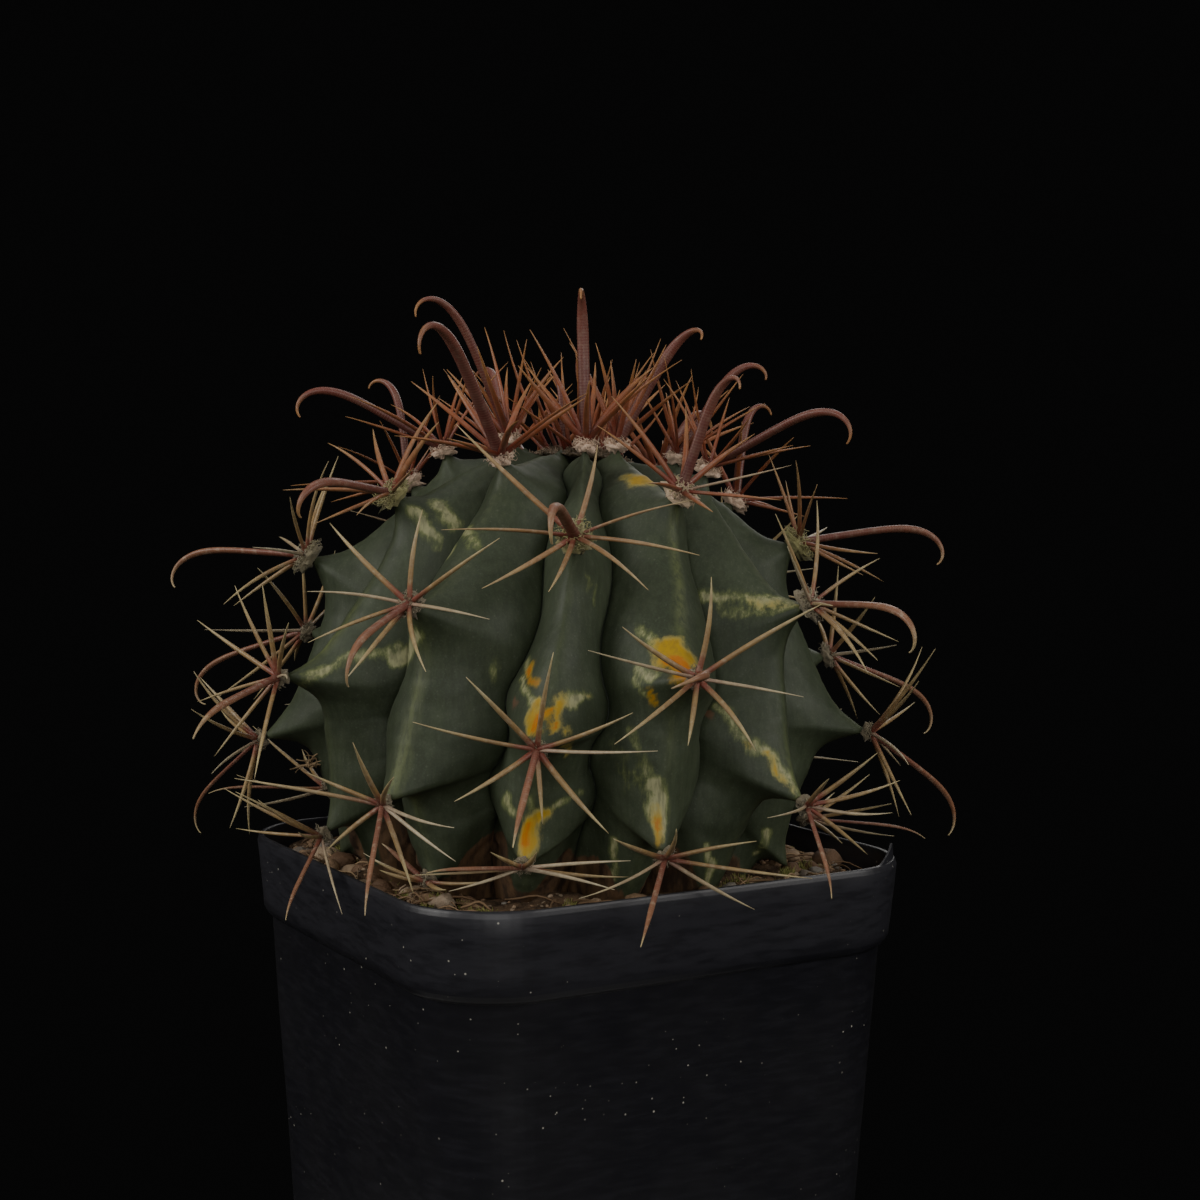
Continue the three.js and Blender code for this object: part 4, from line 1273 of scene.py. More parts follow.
@dataclass(frozen=True)
class EarthFinish(Finish):
    """Crumbly dark earth between the stones."""

    name: str = "potting_earth"
    wet: Colour = (0.036, 0.023, 0.014)
    dry: Colour = (0.14, 0.088, 0.05)
    grain: Colour = (0.42, 0.33, 0.23)

    def wired(self, tree: Tree) -> dict[str, object]:
        """Wires the finish.

        Args:
            tree: the material's nodes.

        Returns:
            What the shader takes.
        """
        at = tree.place()
        crumb = tree.mottle(at, 330, 0.14)
        grains = tree.times(tree.specks(at, 900, 0.35, 0.5), 0.6)
        return {
            "Base Color": tree.layered(self.wet, (crumb, self.dry), (grains, self.grain)),
            "Roughness": tree.ramp(crumb, 0, 1, 0.75, 0.95),
            "Normal": tree.bump(tree.noise(at, 700, 5, 0.7), 0.0009, 0.9),
            "Specular IOR Level": 0.2,
        }


@dataclass(frozen=True)
class StoneFinish(Finish):
    """Small tan, ochre and grey stones."""

    name: str = "garden_grit"
    tan: Colour = (0.27, 0.175, 0.1)
    pale: Colour = (0.4, 0.3, 0.2)
    brown: Colour = (0.13, 0.075, 0.042)
    grey: Colour = (0.2, 0.18, 0.15)

    def wired(self, tree: Tree) -> dict[str, object]:
        """Wires the finish.

        Args:
            tree: the material's nodes.

        Returns:
            What the shader takes.
        """
        at, tone = tree.place(), tree.kept("tone")
        veins = tree.mottle(at, 420, 0.12)
        colour = tree.layered(
            self.brown, (tree.ramp(tone, 0.1, 0.35), self.tan), (tree.ramp(tone, 0.45, 0.75), self.pale),
            (tree.ramp(tone, 0.86, 0.9), self.grey), (tree.times(veins, 0.4), self.brown))
        return {
            "Base Color": colour,
            "Roughness": tree.ramp(veins, 0, 1, 0.62, 0.85),
            "Normal": tree.bump(tree.noise(at, 1300, 4, 0.6), 0.0004, 0.7),
            "Specular IOR Level": 0.3,
        }


@dataclass(frozen=True)
class LitterFinish(Finish):
    """Moss and dry fibres on the soil."""

    name: str = "moss_and_straw"
    straw: Colour = (0.36, 0.25, 0.14)
    bark: Colour = (0.13, 0.075, 0.04)
    moss: Colour = (0.16, 0.18, 0.04)
    moss_tip: Colour = (0.36, 0.36, 0.11)

    def wired(self, tree: Tree) -> dict[str, object]:
        """Wires the finish.

        Args:
            tree: the material's nodes.

        Returns:
            What the shader takes.
        """
        tone = tree.kept("tone")
        soiled = tree.mottle(tree.place(), 500, 0.15)
        moss = tree.mix(tone, self.moss, self.moss_tip)
        colour = tree.layered(self.bark, (tone, self.straw), (tree.kept("green"), moss),
                              (tree.times(soiled, 0.3), self.bark))
        return {
            "Base Color": colour,
            "Roughness": tree.ramp(soiled, 0, 1, 0.65, 0.85),
            "Specular IOR Level": 0.25,
        }


@dataclass(frozen=True)
class StandFinish(Finish):
    """Pale floor under the pot."""

    name: str = "pale_stand"
    grey: Colour = (0.4, 0.395, 0.385)
    light: Colour = (0.46, 0.455, 0.445)

    def wired(self, tree: Tree) -> dict[str, object]:
        """Wires the finish.

        Args:
            tree: the material's nodes.

        Returns:
            What the shader takes.
        """
        grain = tree.noise(tree.place(), 60, 3)
        return {
            "Base Color": tree.mix(grain, self.grey, self.light),
            "Roughness": tree.ramp(grain, 0.3, 0.7, 0.55, 0.7),
        }


class Tint(Enum):
    """Colours of the marks on the skin, each with its point attribute."""

    CREAM = "cream"
    YELLOW = "yellow"
    ORANGE = "orange"
    SCAR = "scar"


# Marks by colour: rib, width and strength, then the line as places across and in steps, where 2
# more across is the next rib
MARKS: dict[Tint, tuple[tuple, ...]] = {
    Tint.CREAM: (
        (-2, 1.3, 0.95, (0.3, 1.23), (0.6, 1.21), (1.58, 1.07)),
        (-2, 1.3, 0.9, (0.33, 1.35), (0.75, 1.35), (1.6, 1.2), (2.1, 1.09)),
        (-2, 1, 0.6, (0.45, 1.19), (0.73, 1.14)),
        (-2, 1.2, 0.7, (0.73, 0.49), (0.4, 0.43), (0.23, 0.28), (0.1, 0.2)),
        (-1, 1.7, 1.4, (-0.12, 0.54), (-0.5, 0.5), (-1.15, 0.52)),
        (-1, 1.5, 0.6, (0.78, 0.47), (0.8, 0.44)), (0, 0.95, 1, (-0.78, 0.54), (-0.5, 0.45)),
        (0, 0.95, 0.85, (-0.7, 0.41), (-0.5, 0.32), (-0.22, 0.22)),
        (0, 1.1, 0.9, (0.23, 0.25), (0.4, 0.28), (0.6, 0.33)), (0, 0.8, 0.45, (0.25, 0.98), (0.4, 0.9)),
        (0, 0.8, 0.4, (0.55, 0.95), (0.63, 0.86)),
        (0, 1, 0.7, (-0.5, -0.55), (-0.32, -0.59), (-0.17, -0.62)),
        (0, 1, 0.7, (0.75, -0.52), (0.43, -0.51), (0.2, -0.57)), (0, 1.1, 0.8, (0, -0.46), (0.15, -0.55)),
        (1, 1.5, 0.6, (-0.52, 0.71), (-0.4, 0.65), (-0.32, 0.6)),
        (1, 1.15, 0.8, (-0.6, 0.5), (-0.48, 0.46), (-0.38, 0.43)),
        (1, 0.9, 0.75, (-0.6, 0.44), (-0.52, 0.34)),
        (1, 1.1, 0.65, (-0.62, 0.06), (-0.35, -0.14), (-0.2, -0.29)),
        (1, 1.3, 1.25, (-0.15, -0.28), (-0.1, -0.37), (-0.04, -0.52)),
        (1, 0.9, 0.65, (-0.4, -0.23), (-0.25, -0.36), (-0.15, -0.48)),
        (1, 1.2, 0.4, (-0.8, -0.06), (-0.6, -0.2), (-0.5, -0.36)),
        (1, 0.9, 0.95, (-0.55, -0.9), (-0.3, -1.15)),
        (2, 1.2, 0.75, (-0.9, 0.33), (-0.65, 0.13), (-0.48, 0.02)),
        (2, 1.5, 0.8, (-0.48, 0.02), (-0.27, -0.03), (-0.15, -0.11), (-0.05, -0.18)),
        (2, 1.5, 0.75, (-0.88, 1.02), (-0.57, 0.95), (-0.22, 0.88), (-0.05, 0.8)),
        (2, 1.2, 0.6, (-0.8, 0.9), (-0.55, 0.86), (-0.2, 0.8)),
        (2, 0.9, 0.95, (-0.4, -0.85), (-0.2, -1.13)), (3, 0.8, 0.9, (-0.5, -0.75), (-0.4, -0.95)),
        (5, 2.2, 0.9, (-0.5, 0.3), (-0.2, 0.1), (-0.05, -0.1)), (6, 2, 0.9, (-0.1, 0.5), (0.1, 0.3)),
        (7, 2.6, 0.9, (0.6, 0.9), (0.3, 0.75), (0.1, 0.6)),
    ),
    Tint.YELLOW: (
        (0, 1.2, 1.05, (-0.17, 0.22), (-0.17, 0.14), (-0.2, 0.07)),
        (0, 1, 1.05, (0.2, 0.26), (0.18, 0.17), (0.15, 0.08)),
        (0, 0.85, 0.75, (0.33, 0.07), (0.38, -0.02), (0.45, -0.16)),
        (0, 1.7, 1.15, (0.15, -0.56), (0.03, -0.62), (0, -0.74)),
        (1, 1.9, 1.15, (-0.25, 0.6), (-0.05, 0.58), (0.07, 0.53)),
        (1, 1.4, 0.65, (-0.34, 0.63), (-0.3, 0.5)), (1, 0.9, 0.6, (-0.12, -0.42), (-0.07, -0.55)),
        (1, 2.6, 1, (-0.22, 1.85), (-0.16, 1.8)),
        (2, 0.9, 0.7, (-0.32, -0.04), (-0.2, -0.13), (-0.1, -0.18)),
        (2, 0.9, 0.4, (-0.4, 0.9), (-0.1, 0.8)), (5, 1.9, 0.9, (-0.3, 0.16), (-0.1, 0)),
        (6, 1.6, 0.8, (0.3, 1.5), (0.15, 1.35)),
    ),
    Tint.ORANGE: (
        (0, 1.1, 0.85, (-0.57, 0.48), (-0.35, 0.37)), (0, 0.8, 0.5, (0.53, 0.32), (0.6, 0.33)),
        (0, 1.2, 1.05, (-0.1, 0.17), (-0.12, 0.09)), (0, 1, 1, (0.12, 0.18), (0.12, 0.09)),
        (0, 1.3, 1, (-0.02, -0.64), (-0.02, -0.72)),
        (1, 1.7, 1.1, (-0.14, 0.53), (-0.07, 0.47), (-0.05, 0.41)),
        (1, 1.2, 0.5, (-0.32, 0.57), (-0.28, 0.49)), (1, 0.9, 0.65, (-0.45, 0.35), (-0.4, 0.28)),
        (1, 0.8, 0.75, (-0.08, -0.5), (-0.04, -0.56)), (2, 0.7, 0.6, (-0.56, 0.05), (-0.5, 0.02)),
        (7, 1.7, 0.8, (0.2, 0.68), (0.08, 0.6)),
    ),
    Tint.SCAR: (
        (0, 0.8, 0.9, (-0.66, 0.24), (-0.64, 0.22)), (2, 1, 1.1, (-0.98, 0.24), (-0.97, 0.21)),
    ),
}


@dataclass(frozen=True)
class SkinPlaces:
    """Places on the smooth stem: their ribs, places across and up them, and points."""

    rib: Array
    side: Array
    step: Array
    points: Array


@dataclass(frozen=True)
class Stem:
    """The ribbed stem: one closed skin with fine relief, and fields for its marks and cork."""

    columns: int = 36
    rows: int = 196
    plug_rows: tuple[float, ...] = (-1.84, -1.6, -1.4)
    skin_from: float = -1.28
    crowding: float = 1.45
    crease_depth: float = 0.7
    relief: float = 0.2
    brow: float = 0.9
    frayed: float = 0.5
    crest_width: float = 0.085
    foot_depth: float = 2.4
    # Rib, step and reach of the stretches whose crest is paler, and their strength
    pale_crests: tuple[tuple[float, ...], ...] = (
        (-1, -0.3, 0.42, 0.6), (-1, 0.15, 0.4, 0.45), (1, 1.1, 0.8, 0.55), (1, 0.1, 0.3, 0.2),
        (-2, 0.5, 0.25, 0.6), (2, -0.1, 0.3, 0.35), (3, 0.3, 0.4, 0.2), (0, 0.5, 0.3, 0.1),
        (0, -0.4, 0.25, 0.25), (5, 0.3, 0.5, 0.4), (8, 0.6, 0.5, 0.4),
    )

    def field_of(self, at: SkinPlaces, tint: Tint) -> Array:
        """Tells how much of a colour the marks bring to the skin.

        Args:
            at: places on the skin.
            tint: the colour.

        Returns:
            Values from 0, away from the marks, up to a mark's strength in its middle.
        """
        best = np.zeros(len(at.rib))
        skin = at.points + self.frayed * np.stack([Ripples(seed, 5)(at.points) for seed in (91, 92, 93)], 1)
        for rib, width, strength, *line in MARKS[tint]:
            across, steps = np.array(line, float).T
            ahead = np.round(across / 2)
            stops = STEM.points(rib + ahead, across - 2 * ahead, steps)
            for start, end in zip(stops[:-1], stops[1:]):
                way = end - start
                share = np.clip((skin - start) @ way / max(way @ way, 1e-9), 0, 1)
                away = np.linalg.norm(skin - start - share[:, None] * way, axis=1)
                best = np.maximum(best, strength * 1.1 * np.exp(-((away / width) ** 2)))
        return best

    def build(self) -> None:
        """Builds the skin as one piece, which stands for the solid stem."""
        span = np.linspace(-1, 1, self.columns + 1)[1:]
        across = np.sign(span) * (1 - (1 - np.abs(span)) ** self.crowding)
        steps = np.concatenate([self.plug_rows, np.linspace(self.skin_from, STEM.crown_step, self.rows)])
        around, up = self.columns * STEM.ribs, len(steps)
        rib = np.tile(np.repeat(np.arange(STEM.ribs), self.columns), up).astype(float)
        side, step = np.tile(across, STEM.ribs * up), np.repeat(steps, around)
        at = SkinPlaces(rib, side, step, STEM.points(rib, side, step))
        rings = STEM.points(rib, side, step, self.proud(at)).reshape(up, around, 3)
        points, faces = stacked(rings, np.array([[0, 0, ring[:, 2].mean()] for ring in rings[[0, -1]]]))
        fields = {"crest": 1 - np.abs(side), "cork": self.cork(at), "pale": self.pale(at)}
        fields |= {tint.value: self.field_of(at, tint) for tint in Tint}
        bag = MeshBag(*fields)
        bag.add(STEM.placed(points), faces,
                **{name: np.append(values, [0, 0]) for name, values in fields.items()})
        bag.piece("stem_skin", SkinFinish(), "stem", "stem")

    def proud(self, at: SkinPlaces) -> Array:
        """Finds the fine relief of the skin: swellings, creases, stitches, brows and cork.

        Args:
            at: places on the skin.

        Returns:
            Its height at each, in millimetres.
        """
        broad = Ripples(11, 17)(at.points) * 0.6 + Ripples(12, 7)(at.points) * 0.3
        fine = Ripples(13, 2.6)(at.points) * 0.06
        fold = 1 - np.abs(at.side)
        crease = -self.crease_depth * np.exp(-((fold / 0.028) ** 2)) * smooth(2.6 - at.step, 0, 0.8)
        feet = -self.foot_depth * smooth(-0.7 - at.step, 0, 0.35) * np.exp(-((fold / 0.42) ** 4))
        stitch = 0.1 * np.exp(-((fold / 0.05) ** 2)) * np.sin(at.points[:, 2] * 2.9 + 2 * at.rib)
        cycle = STEM.cycle(at.rib, at.step)
        near = np.minimum(cycle, 1 - cycle)
        brow = self.brow * np.exp(-((near / 0.085) ** 2)) * np.exp(-((at.side / 0.2) ** 2))
        bark = np.maximum(0, self.cork(at) - 0.25) * Ripples(14, 3.1)(at.points) * 0.5
        soft = smooth(2.75 - at.step, 0, 0.35)
        return (self.relief * broad + fine + crease + feet + stitch + brow + bark) * soft

    def cork(self, at: SkinPlaces) -> Array:
        """Tells how corky the skin is: brown between the ribs near the soil.

        Args:
            at: places on the skin.

        Returns:
            Values from 0 to 1.
        """
        height = at.points[:, 2] + Ripples(15, 12)(at.points) * 1.6
        feet = smooth(1 - np.abs(at.side), 0.35, 0.8) * 6
        return 1 - smooth(height + feet, 3.4, 8.4)

    def pale(self, at: SkinPlaces) -> Array:
        """Tells how pale the crests are.

        Args:
            at: places on the skin.

        Returns:
            Values from 0 to 1.
        """
        crest = np.exp(-((at.side / self.crest_width) ** 2))
        best = 0.1 * crest
        for rib, middle, reach, strength in self.pale_crests:
            near = np.exp(-(((at.step - middle) / reach) ** 2)) * (np.mod(at.rib - rib, STEM.ribs) == 0)
            best = np.maximum(best, strength * near * crest)
        return best


@dataclass(frozen=True)
class SpineShape:
    """How a spine is meshed: its sides and rings, its taper and its bow."""

    radial_sides: int = 8
    radial_rings: int = 12
    central_sides: int = 10
    flatness: float = 0.66
    ring_pitch: float = 0.55
    ring_depth: float = 0.0015
    bow: tuple[float, float] = (-0.015, 0.05)
    tip: float = 0.05

    def radial(self, bag: MeshBag, spine: Spine, draw: Draw, young: float, girth: float) -> None:
        """Adds a radial spine, a little bowed, that thins over its outer half.

        Args:
            bag: where it goes.
            spine: where it is.
            draw: the cluster's own draw.
            young: 1 for a fresh spine of the crown.
            girth: its thickness against the usual.
        """
        areole, clock = spine.areole, abs(spine.wish.clock)
        root, tip = spine.path()
        way = tip - root
        length = np.linalg.norm(way)
        t = np.linspace(-0.07, 1, self.radial_rings)
        sag = unit(np.cross(np.cross(way, areole.out + 0.2 * areole.side), way))
        bow = draw(*self.bow) * length
        sideways = unit(np.cross(way, sag)) * draw(-0.025, 0.025) * length
        path = root + way * t[:, None] + (sag * bow + sideways) * (4 * t * (1 - t))[:, None]
        slim = smooth(clock, 60, 82) * (1 - smooth(clock, 102, 124))
        width = SIZES.radial_radius * girth * (0.84 - 0.26 * slim) * draw(0.88, 1.08)
        taper = (1.15 - 0.15 * smooth(t, -0.07, 0.12)) * (1 - 0.2 * t) * (1 - smooth(t, 0.4, 1.3) * 1.12)
        profile = np.maximum(width * taper, self.tip)
        profile[-1] = self.tip
        flat = profile * (0.82 - 0.27 * young)
        points, faces = tube(path, profile, flat, areole.side + 0.3 * areole.up, self.radial_sides)
        along = along_tube(np.clip(t, 0, 1), self.radial_sides)
        bag.add(STEM.placed(points), faces, along=along, reach=along * length, kind=0.0, young=young,
                tone=0.25 * draw() + 0.75 * slim * (young < 1) * (1 - smooth(way[2] / length, 0.25, 0.6)))

    def central(self, bag: MeshBag, spine: Spine, draw: Draw, young: float, girth: float) -> None:
        """Adds a central spine: flattened, ringed, and turned into its hook.

        Args:
            bag: where it goes.
            spine: where it is.
            draw: the cluster's own draw.
            young: 1 for a fresh spine of the crown.
            girth: its thickness against the usual.
        """
        stops = np.linspace(0, 1, 1 + ceil(4 * spine.wish.length * spine.attempt[3] / self.ring_pitch))
        path = spine.path(stops)
        heading = unit(path[2] - path[0])
        across = np.cross(heading, path[-1] - path[0])
        across = unit(across if np.linalg.norm(across) > 0.5 else np.cross(heading, spine.areole.up))
        reach = np.concatenate([[0], np.cumsum(np.linalg.norm(np.diff(path, axis=0), axis=1))])
        length = reach[-1]
        shaft = smooth(reach, 0, 2) * smooth(length - reach, 5, 11)
        ripple = 1 + self.ring_depth * shaft * np.sin(reach * tau / self.ring_pitch)
        taper = (1.12 - 0.12 * smooth(stops, 0, 0.12)) * (1 - smooth(stops, 0.58, 1.12) * 0.97)
        wide = np.maximum(SIZES.central_radius * girth * draw(0.9, 1.05) * taper * ripple, self.tip)
        wide[-1] = self.tip
        thick = np.maximum(wide * (self.flatness + 0.3 * smooth(stops, 0.5, 1)), self.tip)
        points, faces = tube(path, wide, thick, across, self.central_sides)
        sides = self.central_sides
        bag.add(STEM.placed(points), faces, along=along_tube(stops, sides), reach=along_tube(reach, sides),
                kind=1.0, young=young, tone=draw())


@dataclass(frozen=True)
class Wool:
    """Felt of the areoles: a lumpy pad under curled hairs, with painted shade on the pad between the hairs.
    """

    hairs: int = 120
    hair_length: tuple[float, float] = (1.2, 2.7)
    hair_width: tuple[float, float] = (0.08, 0.17)
    curl: float = 0.34
    rings: int = 7
    lump: float = 0.7
    # How dark the pad is painted: painted shade in the gaps between the hairs
    depth: float = 0.55

    def hair(self, bag: MeshBag, root: Array, heading: Array, draw: Draw, tone: float,
             scale: float = 1, shade: float = 0) -> None:
        """Adds one curled hair.

        Args:
            bag: where it goes.
            root: where it starts, in plant millimetres.
            heading: its direction at the root.
            draw: the draw of its length and curl.
            tone: its place between grey, green and cream.
            scale: its size against the usual.
            shade: how much darker it is at least.
        """
        length = draw(*self.hair_length) * scale
        t = np.linspace(0, 1, self.rings)
        side = unit(np.cross(heading, np.array([0.31, 0.52, 0.79]) * (1 if draw() < 0.5 else -1)))
        over = np.cross(heading, side)
        turns = draw(4, 10)
        start = draw(0, tau)
        angle = start + turns * t
        lean = side * draw(-0.8, 0.8) + over * draw(-0.8, 0.8)
        coil = (side * (np.cos(angle) - cos(start))[:, None]
                + over * (np.sin(angle) - sin(start))[:, None])
        path = (root + heading * (length * t * (1 - 0.35 * t))[:, None]
                + lean * (length * t * t)[:, None] * 0.6
                + coil * self.curl * scale * draw(0.5, 1.4))
        width = draw(*self.hair_width) * (1 - 0.6 * t) * (0.6 + 0.4 * scale)
        points, faces = tube(path, width, width, side, 3)
        bag.add(STEM.placed(points), faces, tone=np.clip(tone + draw(-0.15, 0.15), 0, 1),
                shade=shade + 0.6 * (1 - 0.5 * tone) * draw() ** 2)

    def pad(self, bag: MeshBag, areole: Areole, amount: float, tone: float, draw: Draw) -> None:
        """Adds the pad of one areole with its hairs.

        Args:
            bag: where it goes.
            areole: the areole that it covers.
            amount: how woolly it is, 1 for a fresh one.
            tone: its place between grey, green and cream.
            draw: the areole's own draw.
        """
        ball, faces = rounded(3)
        half = np.array([SIZES.pad_width * 1.12, SIZES.pad_length, SIZES.pad_thickness * 1.1])
        width = 0.34 + 0.8 * amount
        half = half * [width, width, max(width, 0.75)]
        lumps = Ripples(int(draw() * 9999), 1.2, 12)(ball * half)
        axes = np.stack([areole.side, areole.up, areole.out])
        middle = areole.root - areole.out * SIZES.pad_thickness * (0.85 - 0.5 * min(amount, 0.7))
        local = ball * half * (1 + self.lump * 0.5 * lumps)[:, None]
        # The pad carries painted shade between its hairs, and is darker still where an old areole has
        # little wool
        bag.add(STEM.placed(middle + local @ axes), [faces], tone=tone,
                shade=self.depth * (1 - 0.7 * tone) * (1.5 - 0.7 * amount))
        for _ in range(round(self.hairs * (0.35 + 0.65 * amount))):
            turn, rise = draw(0, tau), sqrt(draw())
            spot = np.array([rise * cos(turn), rise * sin(turn), sqrt(1 - rise * rise)])
            heading = unit(spot * [1.3, 1.3, 0.8] + [draw(-0.4, 0.4), draw(-0.4, 0.4), 0.1])
            self.hair(bag, middle + (spot * half * 0.92) @ axes, heading @ axes, draw, tone,
                      0.55 + 0.45 * amount, 0.4 * (1 - amount))


@dataclass(frozen=True)
class Thorns:
    """All clusters of spines, each a piece of its own, and the wool of every areole."""

    shape: SpineShape = SpineShape()
    wool: Wool = Wool()

    def girth_of(self, steps: float) -> float:
        """Returns how thick a central spine is: thin near the soil, stout near the crown."""
        return float(0.42 + 0.26 * smooth(steps, -0.25, 0.2) + 0.3 * smooth(steps, 0.5, 1.2))

    def look_of(self, steps: float) -> tuple[float, float, float]:
        """Tells how an areole looks by its height.

        Args:
            steps: its place up the stem, in areole steps.

        Returns:
            How young it is, how woolly, and its wool's place between grey, green and cream.
        """
        young = 0.95 * float(smooth(steps, 0.75, 1.5))
        woolly = 0.25 + 0.75 * smooth(steps, 0.25, 1.0) - 0.42 * smooth(steps, 1.2, 1.75)
        tone = 0.12 + 0.38 * smooth(steps, 0.75, 1.1) + 0.45 * smooth(steps, 1.22, 1.5)
        return young, float(woolly), float(tone)

    def build(self, clusters: list[Cluster]) -> None:
        """Builds a piece for each cluster, and one for the wool.

        Args:
            clusters: the planned clusters.
        """
        felt = MeshBag("tone", "shade")
        for number, cluster in enumerate(clusters):
            areole, draw = cluster.areole, Draw(900 + 13 * number)
            young, woolly, tone = self.look_of(areole.steps)
            bag = MeshBag("along", "reach", "kind", "young", "tone")
            for spine in cluster.spines:
                add = self.shape.central if spine.hooked else self.shape.radial
                girth = self.girth_of(areole.steps) if spine.hooked else 1 + 0.28 * young
                add(bag, spine, draw, young, girth)
            self.wool.pad(felt, areole, woolly, tone, draw)
            bag.piece(areole.node.replace("areole", "spines"), SpineFinish(), "spines", areole.node)
        felt.piece("areole_wool", WoolFinish(), "spines")


@dataclass(frozen=True)
class Crown:
    """The woolly cushion in the middle of the top, with its young spines."""

    shape: SpineShape = SpineShape()
    wool: Wool = Wool()
    foot_step: float = 2.56
    tuck: float = 0.7
    rise: float = 1.8
    columns: int = 96
    rings: int = 22
    hairs: int = 1000
    splayed: int = 5
    spiral: float = 137.5
    tone: float = 0.9

    def surface(self, turn: Array, share: Array) -> Array:
        """Finds points of the cushion.

        Args:
            turn: angles round it.
            share: places from its foot, 0, to its middle, 1.

        Returns:
            The points in the plant's millimetres.
        """
        foot, top = STEM.curve(self.foot_step)[0, :2], STEM.curve(STEM.crown_step)[0, 1] + self.rise
        radius = foot[0] * (1 - share)
        height = foot[1] - self.tuck + (top - foot[1] + self.tuck) * np.sin(share * pi / 2)
        points = np.stack([radius * np.cos(turn), radius * np.sin(turn), height], axis=-1)
        lumps = Ripples(61, 4.2)(points) * 0.42 + Ripples(62, 1.7)(points) * 0.16
        points[..., 2] += lumps * smooth(share, 0, 0.2)
        return points

    def build(self, spines: list[Spine]) -> None:
        """Builds the cushion and the young spines.

        Args:
            spines: the crown's planned spines.
        """
        felt, bag = MeshBag("tone", "shade"), MeshBag("along", "reach", "kind", "young", "tone")
        draw = Draw(71)
        shares = np.repeat(np.linspace(0, 0.97, self.rings), self.columns)
        turn = np.tile(np.arange(self.columns) * tau / self.columns, self.rings)
        rings = self.surface(turn, shares).reshape(self.rings, self.columns, 3)
        ends = np.vstack([[0, 0, rings[0, :, 2].min()], self.surface(np.zeros(1), np.ones(1))[0]])
        points, faces = stacked(rings, ends)
        # The cushion is painted dark: painted shade under the hairs and the young spines
        felt.add(STEM.placed(points), faces, tone=self.tone, shade=0.92)
        for _ in range(self.hairs):
            share, around = 1 - sqrt(draw()) * 0.99, draw(0, tau)
            root = self.surface(np.array([around]), np.array([share]))[0]
            out = np.array([cos(around), sin(around), 0]) * (1 - share) * 1.4
            lean = np.array([draw(-0.6, 0.6), draw(-0.6, 0.6), 1])
            # Every crown hair is painted somewhat darker, and darker still in broad patches: painted shade
            # of the crown spines
            shaded_patch = float(Ripples(63, 5)(root[None])[0] < 0.55)
            self.wool.hair(felt, root - [0, 0, 0.25], unit(out + lean), draw, self.tone, 0.65,
                           0.3 + 0.5 * shaded_patch)
        for number in range(self.splayed):
            turn = radians(self.spiral * number)
            root = self.surface(np.array([turn - pi / 2]), np.array([draw(0.1, 0.6)]))[0]
            turn += radians(draw(-60, 60))
            ahead, side = (np.array([sin(a), -cos(a), 0]) for a in (turn, turn + pi / 2))
            stand = Areole(0, number, 3, ahead, side, np.array([0, 0, 1.0]), root)
            wish = SpineWish(0, draw(14, 46), draw(14, 23))
            self.shape.radial(bag, Spine(stand, wish, TRIES[0], False), draw, 1, 1.2)
        for spine in spines:
            add, girth = (self.shape.central, 0.9) if spine.hooked else (self.shape.radial, 1)
            add(bag, spine, draw, 1, girth)
        felt.piece("crown_wool", WoolFinish(), "crown", "crown")
        bag.piece("crown_spines", SpineFinish(), "crown")


